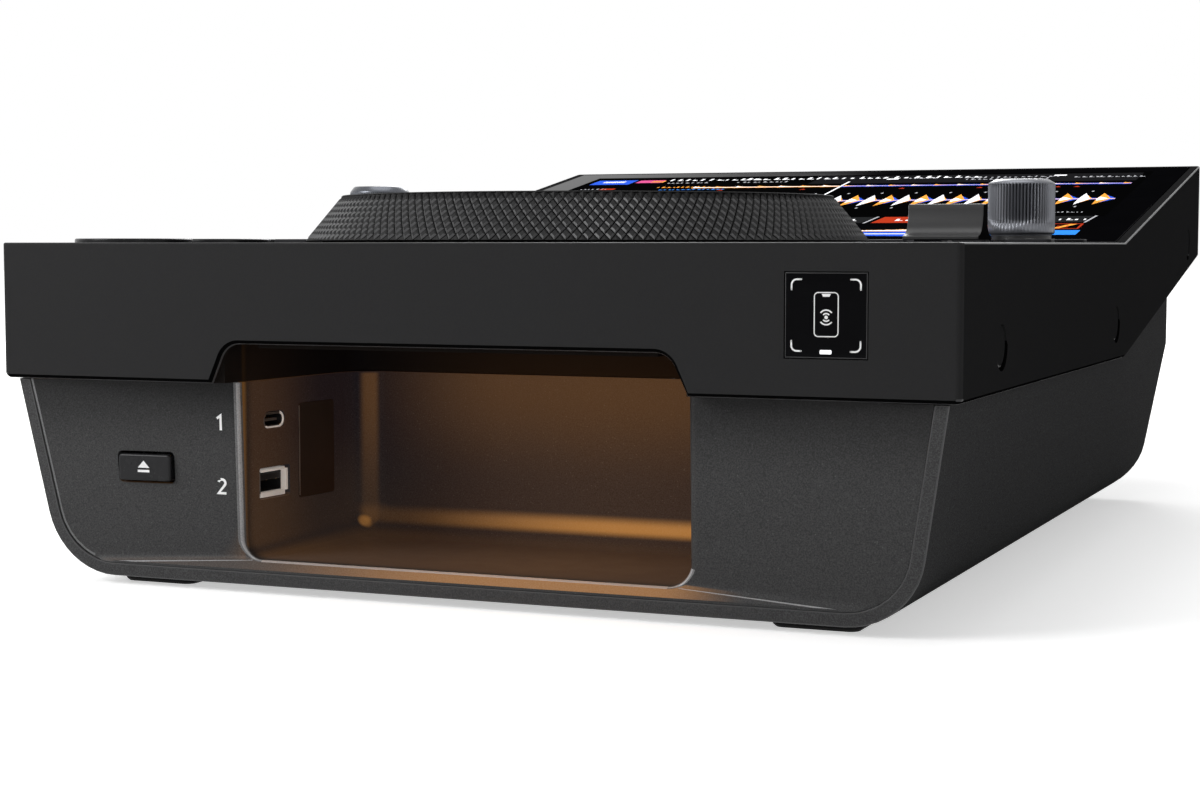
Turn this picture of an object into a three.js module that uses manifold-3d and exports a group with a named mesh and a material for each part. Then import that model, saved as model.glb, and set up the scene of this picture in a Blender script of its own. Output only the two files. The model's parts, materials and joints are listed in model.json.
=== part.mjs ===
// Tabletop media player for a DJ desk, in millimetres with +Z up.
// X runs to the right and Y from the front edge to the back. Z is zero at the foot undersides.
// The outer group moves the model back by half its depth, so the origin is the bottom centre.
import * as THREE from "three";
import { mergeVertices } from "three/addons/utils/BufferGeometryUtils.js";
import Module from "manifold-3d";

const wasm = await Module();
wasm.setup();

// Clearances
const seatGap = 0.3; // between two fixed pieces that touch
const runGap = 0.4; // round a piece that moves
const overrun = 1; // how far a cut runs past the face it opens

// Casing: a flat deck, a sloping screen part behind it, and a skirt round both
const caseWidth = 329;
const caseDepth = 489;
const skirtHeight = 45.6;
const deckDepth = 274.5;
const screenRise = 37.4;
const backHeight = 44.1;
const underBendSetback = 4;
const caseWall = 3;
const deckWall = 4;
const caseCornerRadius = 2;

// Lower shell: leaning sides, rounded bottom edges and an open front with a rim
const shellHeight = 66.8;
const shellInset = 4;
const shellSetback = 3;
const shellDepth = 412;
const shellWall = 2.5;
const shellSideLean = THREE.MathUtils.degToRad(9.6);
const shellFaceLean = THREE.MathUtils.degToRad(5.8);
const ledgeHeight = 3;
const ledgeFrontDepth = 14;
const shellCornerRadius = 25;
const rimWidth = 4.4;
const ventLength = 60;
const ventWidth = 4;
const ventPitch = 12;
const ventCount = 8;
const ventSetback = 190;

// Feet
const footHeight = 3;
const footWidth = 28;
const footDepth = 22;
const footRadius = 4;
const footSideInset = 34;
const footFrontSetback = 18;
const footBackMargin = 16;

// Media bay in the middle of the front
const bayMouthHalfWidth = 78.6;
const bayBackHalfWidth = 75.2;
const bayMouthSetback = 11.2;
const bayDepth = 73.8;
const bayFaceLean = THREE.MathUtils.degToRad(1.9);
const bayFloorRise = 8;
const bayRoofDrop = 31.5;
const bayWall = 2.5;
const bayBackRadius = 9;
const bayFloorRadius = 7.5;
const panelWall = 3;
const rampStep = 0.6;

// Notch in the skirt over the bay
const notchHeight = 12.9;
const notchFootHalfWidth = 82.1;
const notchTopHalfWidth = 76.4;
const notchTopRadius = 7;

// Light bar under the bay's roof
const lightBarLength = 140;
const lightBarDepth = 6;
const lightBarHeight = 2.5;
const lightBarSetback = 6;

// Sockets in the bay's left wall
const portTurn = Math.atan2(bayMouthHalfWidth - bayBackHalfWidth, bayDepth);
const smallPortSetback = 20.4;
const smallPortRise = 44.9;
const smallPortWidth = 12.7;
const smallPortHeight = 5.9;
const smallPortLip = 0.8;
const smallPortPlugWidth = 8.6;
const smallPortPlugHeight = 2.8;
const largePortSetback = 20.4;
const largePortRise = 23.8;
const largePortWidth = 18;
const largePortHeight = 10.6;
const largePortPlugWidth = 12.6;
const largePortPlugHeight = 5.2;
const largePortLip = 1;
const portDepth = 13;
const portMouthDepth = 2;
const portPlugDepth = 9.5;

// Eject key in the left front panel
const ejectPlaceShare = 0.571;
const ejectRise = 37.5;
const ejectWidth = 19.7;
const ejectHeight = 9.1;
const ejectCornerRadius = 1.2;
const ejectProud = 2;
const ejectDepth = 7;

// Contactless window in the skirt
const tapWindowSize = 24.6;
const tapWindowSideMargin = 27.3;
const tapWindowDrop = 8.6;
const tapWindowWall = 1.2;

// Round plugs in the sides
const plugRadius = 6.2;
const plugWall = 1.3;
const plugDrop = 31;
const plugPlaceShares = [0.1051, 0.5225, 0.9233];

// Screen
const glassSideMargin = 4.5;
const glassEndMargin = 3;
const glassWall = 2;
const litSideMargin = 23.3;
const litFrontMargin = 19.8;
const litBackMargin = 20.8;
const screenFrame = 8;
const screenThickness = 6;

// Jog wheel: it fills the deck between the two columns of keys and in front of the pads
const keyColumnWidth = 53.4;
const faderColumnWidth = 69.6;
const jogFrontMargin = 34.4;
const jogPadGap = 9.6;
const jogSideLean = 13.5;
const jogHeight = 16.9;
const jogDeckGap = 0.6;
const jogRimFlat = 3.5;
const jogDish = 3;
const jogPlateWall = 2.5;
const jogRingWall = 4;
const jogWindowRadius = 34;
const jogWindowWall = 1.2;
const jogFlangeRadius = 22;
const jogFlangeWall = 2;
const jogShaftRadius = 5;
const jogShaftDrop = 18;
const jogBossWall = 4;
const jogBaseRadius = 40;
const jogBaseWall = 4;
const jogBaseDrop = 16;

// Keys on the deck
const keyHeight = 1.4;
const keyTravel = 0.9;
const keyFlange = 1;
const keyFlangeWall = 1.2;
const keyRadius = 2;
const keyColumnInset = 30.5;
const playRadius = 20;
const playY = 33;
const cueRadius = 18;
const cueY = 88;
const smallKeyWidth = 16;
const smallKeyDepth = 11;
const smallKeySpacing = 21;
const trackKeyY = 125;
const searchKeyY = 147;
const loopKeyY = 256;
const padDepth = 14;
const padGap = 3;
const padCount = 8;
const padLeftMargin = 77.5;
const padRightMargin = 82.5;
const padY = 257;
const backKeyWidth = 34;
const backKeyDepth = 9;
const backKeyInset = 30.5;
const backKeyY = 262;
const tempoKeyWidth = 17;
const tempoKeyDepth = 9;
const tempoKeySpacing = 24;
const tempoKeyY = 199;

// Tempo fader
const faderInset = 34.5;
const faderY = 122;
const faderStroke = 100;
const faderSlotWidth = 3;
const faderCapWidth = 25.6;
const faderCapDepth = 20;
const faderCapTopDepth = 5;
const faderCapHeight = 12;
const faderCapLift = 0.9;
const faderCapToe = 1.4;
const faderStemSeat = 3;
const faderStemWidth = 1.8;
const faderStemDepth = 6;
const faderBodyWidth = 16;
const faderBodyMargin = 8;
const faderBodyHeight = 12;
const faderBodyWall = 2;

// Knob shafts
const knobShaftRadius = 3;
const knobShaftSeat = 7;

// Browse knob
const browseInset = 32.3;
const browseY = 230;
const browseRadius = 12.6;
const browseHeight = 24.1;
const browseTopBevel = 2.4;
const browseTravel = 0.8;
const browseLift = 2.6;
const browseCollarRadius = 10.5;
const browseCollarHeight = 1.4;

// Speed dial
const dialInset = 27.3;
const dialY = 215;
const dialRadius = 12.6;
const dialHeight = 23.7;
const dialTopBevel = 1.6;
const dialLift = 0.8;

// Encoder and pot bodies under the deck
const encoderWidth = 16;
const encoderHeight = 12;

// Direction lever
const leverY = 176;
const leverSlotWidth = 7;
const leverSlotLength = 22;
const leverWidth = 5.4;
const leverThickness = 6;
const leverHeight = 6;
const leverPivotDrop = 9;
const leverPivotRadius = 3;
const leverCheekWall = 1.5;

// Circuit boards and the power supply
const boardWall = 1.6;
const boardPostRadius = 3.5;
const boardInset = 8;
const mainBoardWidth = 170;
const mainBoardDepth = 105;
const mainBoardMargin = 20.5;
const mainBoardY = 160;
const mainBoardRise = 9;
const supplyWidth = 80;
const supplyDepth = 140;
const supplyHeight = 32;
const supplyMargin = 28.5;
const supplyY = 295;
const supplyRise = 6;

// Rear panel with its sockets and switch
const rearPanelWidth = 236;
const rearPanelHeight = 38;
const rearPanelWall = 2;
const rearPanelRise = 23;
const rearPanelLip = 4;
const inletMargin = 26;
const inletWidth = 30;
const inletHeight = 24;
const inletDepth = 22;
const inletLip = 2.5;
const inletWall = 2.4;
const inletProud = 2;
const switchSpacing = 34;
const switchWidth = 13;
const switchHeight = 20;
const switchThickness = 9;
const switchProud = 2.5;
const switchGap = 0.6;
const jackSpacing = 22;
const jackCount = 3;
const jackRadius = 4.6;
const jackHoleRadius = 1.7;
const jackReach = 9;
const jackBlockHeight = 16;
const jackBlockDepth = 12;
const jackBlockMargin = 9;
const networkMargin = 26;
const networkSpacing = 28;
const networkWidth = 16;
const networkHeight = 14;
const networkDepth = 18;
const networkHoleWidth = 11.8;
const networkHoleHeight = 8;
const networkHoleDepth = 12;

// Facet counts
const cornerSteps = 2;
const edgeSteps = 5;
const discSteps = 18;
const jogSides = 96;
const knobSides = 48;
const shaftSides = 32;

// Levels and places worked out from the sizes above
const shellFloor = footHeight;
const splitLevel = shellFloor + shellHeight;
const deckLevel = splitLevel + skirtHeight;
const caseHalf = caseWidth / 2;
const backTop = deckLevel + screenRise;
const backBottom = backTop - backHeight;
const underBendY = deckDepth + underBendSetback;
const slopeRun = caseDepth - deckDepth;
const slopeAngle = Math.atan2(screenRise, slopeRun);
const slopeLength = Math.hypot(slopeRun, screenRise);
const underSlope = (backBottom - splitLevel) / (caseDepth - underBendY);
const shellHalf = caseHalf - shellInset;
const shellBackY = shellSetback + shellDepth;
const sideLeanRatio = Math.tan(shellSideLean);
const faceLeanRatio = Math.tan(shellFaceLean);
const bayLeanRatio = Math.tan(bayFaceLean);
const bayBackY = bayMouthSetback + bayDepth;
const bayFloor = shellFloor + bayFloorRise;
const bayRoof = deckLevel - bayRoofDrop;
const deckUnderside = deckLevel - deckWall;
const keyBoardTop = deckUnderside - seatGap - keyFlangeWall - keyTravel - seatGap;
const keyBoardUnderside = keyBoardTop - boardWall;
const jogRoomWidth = caseWidth - keyColumnWidth - faderColumnWidth;
const jogBackY = padY - padDepth / 2 - jogPadGap;
const jogRadius = Math.min(jogRoomWidth, jogBackY - jogFrontMargin) / 2;
const jogTopRadius = jogRadius - jogSideLean;
const jogX = (keyColumnWidth - faderColumnWidth) / 2;
const jogY = (jogBackY + jogFrontMargin) / 2;
const keyColumnX = keyColumnInset - caseHalf;
const faderX = caseHalf - faderInset;
const browseX = caseHalf - browseInset;
const dialX = dialInset - caseHalf;
const ejectX = -THREE.MathUtils.lerp(shellHalf, bayMouthHalfWidth, ejectPlaceShare);
const litWidth = caseWidth - 2 * litSideMargin;
const litHeight = slopeLength - litFrontMargin - litBackMargin;
const mainBoardX = shellHalf - mainBoardMargin - mainBoardWidth / 2;
const supplyX = supplyMargin + supplyWidth / 2 - shellHalf;
const inletX = inletMargin - rearPanelWidth / 2;
const switchX = inletX + switchSpacing;
const networkX = rearPanelWidth / 2 - networkMargin;
const jackX = networkX - networkSpacing - (jackCount - 1) * jackSpacing;
const slopeMatrix = new THREE.Matrix4()
  .makeTranslation(0, deckDepth, deckLevel)
  .multiply(new THREE.Matrix4().makeRotationX(slopeAngle));

// How far the leaning front face has moved back at a height.
function faceShift(z) {
  return (splitLevel - z) * faceLeanRatio;
}

// How far the bay's mouth has moved back at a height.
function bayShift(z) {
  return (splitLevel - z) * bayLeanRatio;
}

// How far the leaning back and sides have moved in at a height.
function sideShift(z) {
  return (splitLevel - z) * sideLeanRatio;
}

// The underside of the case behind its lower bend.
function undersideAt(y) {
  return splitLevel + Math.max(0, y - underBendY) * underSlope;
}

// A closed geometry as a solid that can be joined and cut.
function toSolid(geometry) {
  const bare = geometry.clone();
  bare.deleteAttribute("normal");
  bare.deleteAttribute("uv");
  const merged = mergeVertices(bare);
  const corners = merged.index.array;
  const kept = [];
  for (let i = 0; i < corners.length; i += 3) {
    const [a, b, c] = corners.slice(i, i + 3);
    if (a !== b && b !== c && c !== a) {
      kept.push(a, b, c);
    }
  }
  const vertProperties = merged.attributes.position.array;
  const triVerts = new Uint32Array(kept);
  return new wasm.Manifold(new wasm.Mesh({ numProp: 3, vertProperties, triVerts }));
}

// A solid as a geometry that a mesh can show.
function toGeometry(solid) {
  const { vertProperties, triVerts } = solid.getMesh();
  const geometry = new THREE.BufferGeometry();
  geometry.setAttribute("position", new THREE.BufferAttribute(vertProperties, 3));
  geometry.setIndex(new THREE.BufferAttribute(triVerts, 1));
  const flat = geometry.toNonIndexed();
  flat.computeVertexNormals();
  return flat;
}

// A block between two values on each axis.
function block([x0, x1], [y0, y1], [z0, z1]) {
  const geometry = new THREE.BoxGeometry(x1 - x0, y1 - y0, z1 - z0);
  geometry.translate((x0 + x1) / 2, (y0 + y1) / 2, (z0 + z1) / 2);
  return toSolid(geometry);
}

// The span that reaches equally far to both sides of a middle.
function around(middle, reach) {
  return [middle - reach, middle + reach];
}

// An outline pushed up along Z, from one level to another.
function alongZ(shape, [z0, z1], curveSegments) {
  const geometry = new THREE.ExtrudeGeometry(shape, {
    depth: z1 - z0,
    bevelEnabled: false,
    curveSegments,
  });
  geometry.translate(0, 0, z0);
  return toSolid(geometry);
}

// An outline drawn in Y and Z, pushed along X.
function alongX(shape, [x0, x1], curveSegments) {
  const geometry = new THREE.ExtrudeGeometry(shape, {
    depth: x1 - x0,
    bevelEnabled: false,
    curveSegments,
  });
  const basis = new THREE.Matrix4().makeBasis(
    new THREE.Vector3(0, 1, 0),
    new THREE.Vector3(0, 0, 1),
    new THREE.Vector3(1, 0, 0),
  );
  geometry.applyMatrix4(basis);
  geometry.translate(x0, 0, 0);
  return toSolid(geometry);
}

// An outline drawn in X and Z, pushed along Y.
function alongY(shape, [y0, y1], curveSegments) {
  const geometry = new THREE.ExtrudeGeometry(shape, {
    depth: y1 - y0,
    bevelEnabled: false,
    curveSegments,
  });
  const basis = new THREE.Matrix4().makeBasis(
    new THREE.Vector3(1, 0, 0),
    new THREE.Vector3(0, 0, 1),
    new THREE.Vector3(0, -1, 0),
  );
  geometry.applyMatrix4(basis);
  geometry.translate(0, y1, 0);
  return toSolid(geometry);
}

// A round solid turned about Z from a closed list of radius and height pairs.
function turned(pairs, sides) {
  const points = pairs.map(([radius, z]) => new THREE.Vector2(radius, z));
  const geometry = new THREE.LatheGeometry(points, sides);
  geometry.rotateX(Math.PI / 2);
  return toSolid(geometry);
}

// A straight post about Z.
function post(radius, [z0, z1], sides) {
  return turned([[0, z0], [radius, z0], [radius, z1], [0, z1]], sides);
}

// The same solid moved to another place.
function moved(solid, x, y, z) {
  const geometry = toGeometry(solid);
  geometry.translate(x, y, z);
  return toSolid(geometry);
}

// A solid drawn flat with its front edge on X, laid on the screen slope.
function onSlope(solid) {
  const geometry = toGeometry(solid);
  geometry.applyMatrix4(slopeMatrix);
  return toSolid(geometry);
}

function joined(solids) {
  return solids.reduce((sum, solid) => sum.add(solid));
}

function polygon(pairs) {
  return new THREE.Shape(pairs.map(([x, y]) => new THREE.Vector2(x, y)));
}

// A rectangle with round corners, centred on zero.
function roundedRectangle(width, height, radius) {
  const x = width / 2 - radius;
  const y = height / 2 - radius;
  const quarter = Math.PI / 2;
  const shape = new THREE.Shape();
  shape.absarc(x, -y, radius, -quarter, 0);
  shape.absarc(x, y, radius, 0, quarter);
  shape.absarc(-x, y, radius, quarter, 2 * quarter);
  shape.absarc(-x, -y, radius, 2 * quarter, 3 * quarter);
  shape.closePath();
  return shape;
}

function disc(radius) {
  return new THREE.Shape().absarc(0, 0, radius, 0, 2 * Math.PI);
}

const player = new THREE.Group();

function finish(color, roughness, metalness) {
  return new THREE.MeshStandardMaterial({ color, roughness, metalness });
}

const caseFinish = finish(0x262626, 0.45, 0);
const shellFinish = finish(0x3a3a3b, 0.6, 0.2);
const rubberFinish = finish(0x161616, 0.85, 0);
const glassFinish = finish(0x050506, 0.06, 0);
const screenFinish = finish(0x1b2333, 0.3, 0);
const keyFinish = finish(0x1d1d1e, 0.4, 0);
const padFinish = finish(0x2a2a2c, 0.6, 0);
const knobFinish = finish(0x3b3e44, 0.35, 0.7);
const jogFinish = finish(0x2b2b2b, 0.5, 0.1);
const metalFinish = finish(0xb9b9bb, 0.3, 1);
const boardFinish = finish(0x1f4a33, 0.6, 0);
const lightFinish = finish(0xffb659, 0.4, 0);
const socketFinish = finish(0x101010, 0.5, 0);

// Adds one named piece at a place in the player.
function addPiece(name, solid, material, [x, y, z] = [0, 0, 0], parent = player) {
  const mesh = new THREE.Mesh(toGeometry(solid), material);
  mesh.name = name;
  mesh.position.set(x, y, z);
  parent.add(mesh);
  return mesh;
}

// The case seen from the side, drawn in Y and Z.
function caseProfile() {
  return polygon([
    [0, splitLevel],
    [underBendY, splitLevel],
    [caseDepth, backBottom],
    [caseDepth, backTop],
    [deckDepth, deckLevel],
    [0, deckLevel],
  ]);
}

// The hollow of the case seen from the side, above the ledge round its underside.
function caseHollowProfile() {
  const bendShift = deckWall * Math.tan(slopeAngle / 2);
  const slopeDrop = deckWall / Math.cos(slopeAngle);
  const backY = caseDepth - caseWall;
  const backUnderTop = backTop - caseWall * Math.tan(slopeAngle) - slopeDrop;
  return polygon([
    [caseWall, splitLevel + ledgeHeight],
    [underBendY, splitLevel + ledgeHeight],
    [backY, undersideAt(backY) + ledgeHeight],
    [backY, backUnderTop],
    [deckDepth + bendShift, deckUnderside],
    [caseWall, deckUnderside],
  ]);
}

// The opening in the underside of the case, inside the ledge that the lower shell meets.
function caseOpening() {
  const half = shellHalf - shellWall;
  const levels = [splitLevel - overrun, backBottom];
  return block([-half, half], [shellSetback + ledgeFrontDepth, shellBackY - shellWall], levels);
}

// The bay seen from above, grown outwards by a margin.
function bayPlan(margin, frontY) {
  const backY = bayBackY + margin;
  const taper = (bayMouthHalfWidth - bayBackHalfWidth) / bayDepth;
  const halfAt = (y) => bayMouthHalfWidth + margin - (y - bayMouthSetback) * taper;
  const radius = bayBackRadius + margin;
  const turn = Math.atan(taper);
  const centreY = backY - radius;
  const centreX = halfAt(centreY) - radius / Math.cos(turn);
  const shape = new THREE.Shape();
  shape.moveTo(-halfAt(frontY), frontY);
  shape.lineTo(halfAt(frontY), frontY);
  shape.absarc(centreX, centreY, radius, turn, Math.PI / 2);
  shape.absarc(-centreX, centreY, radius, Math.PI / 2, Math.PI - turn);
  shape.closePath();
  return shape;
}

// The opening in the skirt seen from the front.
function notchProfile() {
  const top = splitLevel + notchHeight;
  const lean = (notchFootHalfWidth - notchTopHalfWidth) / notchHeight;
  const turn = Math.atan(lean);
  const centreZ = top - notchTopRadius;
  const halfAtCentre = notchFootHalfWidth - (centreZ - splitLevel) * lean;
  const centreX = halfAtCentre - notchTopRadius / Math.cos(turn);
  const footHalf = notchFootHalfWidth + overrun * lean;
  const shape = new THREE.Shape();
  shape.moveTo(-footHalf, splitLevel - overrun);
  shape.lineTo(footHalf, splitLevel - overrun);
  shape.absarc(centreX, centreZ, notchTopRadius, turn, Math.PI / 2);
  shape.absarc(-centreX, centreZ, notchTopRadius, Math.PI / 2, Math.PI - turn);
  shape.closePath();
  return shape;
}

// Each key of the deck: its name, place, outline and finish.
const leftOfPair = keyColumnX - smallKeySpacing / 2;
const rightOfPair = keyColumnX + smallKeySpacing / 2;
const leftTempoX = faderX - tempoKeySpacing / 2;
const rightTempoX = faderX + tempoKeySpacing / 2;
const roundKeys = [
  { name: "play_button", x: keyColumnX, y: playY, radius: playRadius },
  { name: "cue_button", x: keyColumnX, y: cueY, radius: cueRadius },
];
const squareKeys = [
  { name: "track_back_key", x: leftOfPair, y: trackKeyY, width: smallKeyWidth, depth: smallKeyDepth },
  { name: "track_next_key", x: rightOfPair, y: trackKeyY, width: smallKeyWidth, depth: smallKeyDepth },
  { name: "search_back_key", x: leftOfPair, y: searchKeyY, width: smallKeyWidth, depth: smallKeyDepth },
  { name: "search_next_key", x: rightOfPair, y: searchKeyY, width: smallKeyWidth, depth: smallKeyDepth },
  { name: "loop_in_key", x: leftOfPair, y: loopKeyY, width: smallKeyWidth, depth: smallKeyDepth },
  { name: "loop_out_key", x: rightOfPair, y: loopKeyY, width: smallKeyWidth, depth: smallKeyDepth },
  { name: "back_key", x: caseHalf - backKeyInset, y: backKeyY, width: backKeyWidth, depth: backKeyDepth },
  { name: "tempo_range_key", x: leftTempoX, y: tempoKeyY, width: tempoKeyWidth, depth: tempoKeyDepth },
  { name: "tempo_reset_key", x: rightTempoX, y: tempoKeyY, width: tempoKeyWidth, depth: tempoKeyDepth },
];
const padSpan = caseWidth - padLeftMargin - padRightMargin;
const padWidth = (padSpan + padGap) / padCount - padGap;
for (let i = 0; i < padCount; i += 1) {
  const x = padLeftMargin - caseHalf + padWidth / 2 + i * (padWidth + padGap);
  squareKeys.push({ name: `pad_${i + 1}`, x, y: padY, width: padWidth, depth: padDepth });
}

function keyOutline(key, margin) {
  if (key.radius) {
    return disc(key.radius + margin);
  }
  return roundedRectangle(key.width + 2 * margin, key.depth + 2 * margin, keyRadius + margin);
}

function keySteps(key) {
  return key.radius ? discSteps : cornerSteps;
}

const deckCut = [deckUnderside - overrun, deckLevel + overrun];

// The holes in the deck that the keys, knobs, fader and lever pass through.
function deckHoles() {
  const holes = [...roundKeys, ...squareKeys].map((key) => {
    return moved(alongZ(keyOutline(key, runGap), deckCut, keySteps(key)), key.x, key.y, 0);
  });
  const slotLength = faderStroke + faderStemDepth + 2 * runGap;
  const slot = roundedRectangle(faderSlotWidth, slotLength, faderSlotWidth / 2 - seatGap);
  const leverSlot = roundedRectangle(leverSlotWidth, leverSlotLength, keyRadius);
  holes.push(
    moved(post(jogShaftRadius + seatGap + jogBossWall + seatGap, deckCut, shaftSides), jogX, jogY, 0),
    moved(alongZ(slot, deckCut, cornerSteps), faderX, faderY, 0),
    moved(post(browseCollarRadius + seatGap, deckCut, shaftSides), browseX, browseY, 0),
    moved(post(knobShaftRadius + runGap, deckCut, shaftSides), dialX, dialY, 0),
    moved(alongZ(leverSlot, deckCut, cornerSteps), keyColumnX, leverY, 0),
  );
  return joined(holes);
}

// The recess for the glass and the window for the screen, laid flat before they are tilted.
function screenCuts() {
  const halfGlass = caseHalf - glassSideMargin + seatGap;
  const glassSpan = [glassEndMargin - seatGap, slopeLength - glassEndMargin + seatGap];
  const recess = block([-halfGlass, halfGlass], glassSpan, [-glassWall - seatGap, overrun]);
  const halfWindow = litWidth / 2 + screenFrame + seatGap;
  const windowStart = litFrontMargin - screenFrame - seatGap;
  const windowEnd = litFrontMargin + litHeight + screenFrame + seatGap;
  const cut = [-deckWall - overrun, overrun];
  const window = block([-halfWindow, halfWindow], [windowStart, windowEnd], cut);
  return onSlope(recess.add(window));
}

// The posts under the deck that carry the key board.
const keyBoardHalf = caseHalf - caseWall - boardInset;
const keyBoardFront = caseWall + boardInset;
const keyBoardBack = deckDepth - boardInset / 2;
const keyBoardPostShares = [
  [-0.98, 0],
  [0.97, 0.02],
  [-0.2, 0.02],
  [0.42, 0.02],
  [-0.97, 0.58],
  [0.97, 0.6],
];
function keyBoardPosts() {
  const levels = [keyBoardTop + seatGap, deckUnderside + overrun];
  return keyBoardPostShares.map(([acrossShare, backShare]) => {
    const x = acrossShare * keyBoardHalf;
    const y = keyBoardFront + boardPostRadius + backShare * (keyBoardBack - keyBoardFront);
    return moved(post(boardPostRadius, levels, shaftSides), x, y, 0);
  });
}

// The case: deck, slope, skirt, and the walls and roof that hood the bay.
function buildTopCase() {
  const shell = alongX(caseProfile(), [-caseHalf, caseHalf], cornerSteps);
  const plan = roundedRectangle(caseWidth, caseDepth, caseCornerRadius);
  const corners = moved(alongZ(plan, [0, backTop + overrun], edgeSteps), 0, caseDepth / 2, 0);
  const innerHalf = caseHalf - caseWall;
  const hollow = alongX(caseHollowProfile(), [-innerHalf, innerHalf], cornerSteps).add(caseOpening());
  const hoodTop = bayRoof + bayWall;
  const hood = alongZ(bayPlan(bayWall, caseWall - overrun), [splitLevel, hoodTop], edgeSteps);
  const bay = alongZ(bayPlan(0, caseWall), [splitLevel - overrun, bayRoof], edgeSteps);
  const notch = alongY(notchProfile(), [-overrun, caseWall + overrun / 2], edgeSteps);
  const windowX = caseHalf - tapWindowSideMargin - tapWindowSize - seatGap;
  const windowTop = deckLevel - tapWindowDrop + seatGap;
  const windowSpan = tapWindowSize + 2 * seatGap;
  const tapRecess = block(
    [windowX, windowX + windowSpan],
    [-overrun, tapWindowWall + seatGap],
    [windowTop - windowSpan, windowTop],
  );
  const plugs = plugPlaces().flatMap(({ y, z }) => {
    return [-1, 1].map((side) => plugDisc(side, y, z, plugRadius + seatGap, plugWall + seatGap, overrun));
  });
  return shell
    .intersect(corners)
    .subtract(hollow)
    .add(joined(keyBoardPosts()))
    .add(hood)
    .subtract(bay)
    .subtract(notch)
    .subtract(tapRecess)
    .subtract(joined(plugs))
    .subtract(deckHoles())
    .subtract(screenCuts());
}

// Where the round plugs sit: a fixed drop below the deck or the slope.
function plugPlaces() {
  return plugPlaceShares.map((share) => {
    const y = share * caseDepth;
    const top = deckLevel + Math.max(0, y - deckDepth) * (screenRise / slopeRun);
    return { y, z: top - plugDrop };
  });
}

// A disc lying in the side of the case, that reaches in by a depth and out by a margin.
function plugDisc(side, y, z, radius, depth, margin) {
  const geometry = toGeometry(post(radius, [-depth, margin], shaftSides));
  geometry.rotateY((side * Math.PI) / 2);
  geometry.translate(side * caseHalf, y, z);
  return toSolid(geometry);
}

// The shell seen from the front, moved inwards by an inset, up to a level.
function shellOutline(inset, topLevel) {
  const centreZ = shellFloor + shellCornerRadius;
  const slantAt = (z) => shellHalf - (splitLevel - z) * sideLeanRatio;
  const centreX = slantAt(centreZ) - shellCornerRadius / Math.cos(shellSideLean);
  const radius = shellCornerRadius - inset;
  const half = shellHalf - inset;
  const shape = new THREE.Shape();
  shape.moveTo(half, topLevel);
  shape.lineTo(-half, topLevel);
  shape.lineTo(-half, splitLevel);
  shape.absarc(-centreX, centreZ, radius, Math.PI + shellSideLean, 1.5 * Math.PI);
  shape.absarc(centreX, centreZ, radius, 1.5 * Math.PI, 2 * Math.PI - shellSideLean);
  shape.lineTo(half, splitLevel);
  shape.closePath();
  return shape;
}

// The side view that bounds the shell: a leaning front, a round back edge and a top under the case.
function shellSideProfile(inset, topMargin) {
  const frontTop = shellSetback + inset;
  const backY = shellBackY - inset;
  const low = shellFloor + inset;
  const centreZ = shellFloor + shellCornerRadius;
  const centreY = shellBackY - sideShift(centreZ) - shellCornerRadius / Math.cos(shellSideLean);
  const shape = new THREE.Shape();
  shape.moveTo(frontTop, splitLevel + topMargin);
  shape.lineTo(frontTop, splitLevel - seatGap);
  shape.lineTo(frontTop + faceShift(low), low);
  shape.absarc(centreY, centreZ, shellCornerRadius - inset, 1.5 * Math.PI, 2 * Math.PI - shellSideLean);
  shape.lineTo(backY, splitLevel);
  shape.lineTo(backY, undersideAt(backY) + topMargin);
  shape.lineTo(underBendY, splitLevel + topMargin);
  shape.closePath();
  return shape;
}

// The space inside the shell's skin at an inset from its sides and ends.
function shellBlank(sideInset, endInset, topMargin) {
  const outline = alongY(shellOutline(sideInset, deckLevel), [0, caseDepth], edgeSteps);
  const profile = shellSideProfile(endInset, topMargin);
  return outline.intersect(alongX(profile, [-caseHalf, caseHalf], edgeSteps));
}

const mainBoardPostShares = [
  [-0.44, -0.45],
  [0.44, -0.45],
  [-0.44, 0.45],
  [0.44, 0.45],
];

// The lower shell: floor, leaning sides, back wall with its opening, rim, vents and board posts.
function buildLowerShell() {
  const outer = shellBlank(0, 0, -seatGap);
  const inner = shellBlank(shellWall, shellWall, overrun);
  const mouth = alongY(shellOutline(rimWidth, deckLevel), [0, caseDepth / 2], edgeSteps);
  const panelHalf = rearPanelWidth / 2 - rearPanelLip;
  const panelLow = shellFloor + rearPanelRise + rearPanelLip;
  const panelHigh = panelLow + rearPanelHeight - 2 * rearPanelLip;
  const rearHole = block([-panelHalf, panelHalf], [caseDepth / 2, caseDepth], [panelLow, panelHigh]);
  const vents = [];
  for (let i = 0; i < ventCount; i += 1) {
    const y = ventSetback + i * ventPitch;
    const span = [-ventLength / 2, ventLength / 2];
    const level = [shellFloor - overrun, shellFloor + shellWall + overrun];
    vents.push(block(span, [y, y + ventWidth], level));
  }
  const boardLevel = shellFloor + mainBoardRise - seatGap;
  const posts = mainBoardPostShares.map(([acrossShare, backShare]) => {
    const x = mainBoardX + acrossShare * mainBoardWidth;
    const y = mainBoardY + backShare * mainBoardDepth;
    return moved(post(boardPostRadius, [shellFloor + shellWall / 2, boardLevel], shaftSides), x, y, 0);
  });
  const supplyLevel = shellFloor + supplyRise - seatGap;
  const supplyPosts = mainBoardPostShares.map(([acrossShare, backShare]) => {
    const x = supplyX + acrossShare * supplyWidth;
    const y = supplyY + backShare * supplyDepth;
    return moved(post(boardPostRadius, [shellFloor + shellWall / 2, supplyLevel], shaftSides), x, y, 0);
  });
  return outer
    .subtract(inner)
    .subtract(mouth)
    .subtract(rearHole)
    .subtract(joined(vents))
    .add(joined([...posts, ...supplyPosts]));
}

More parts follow.
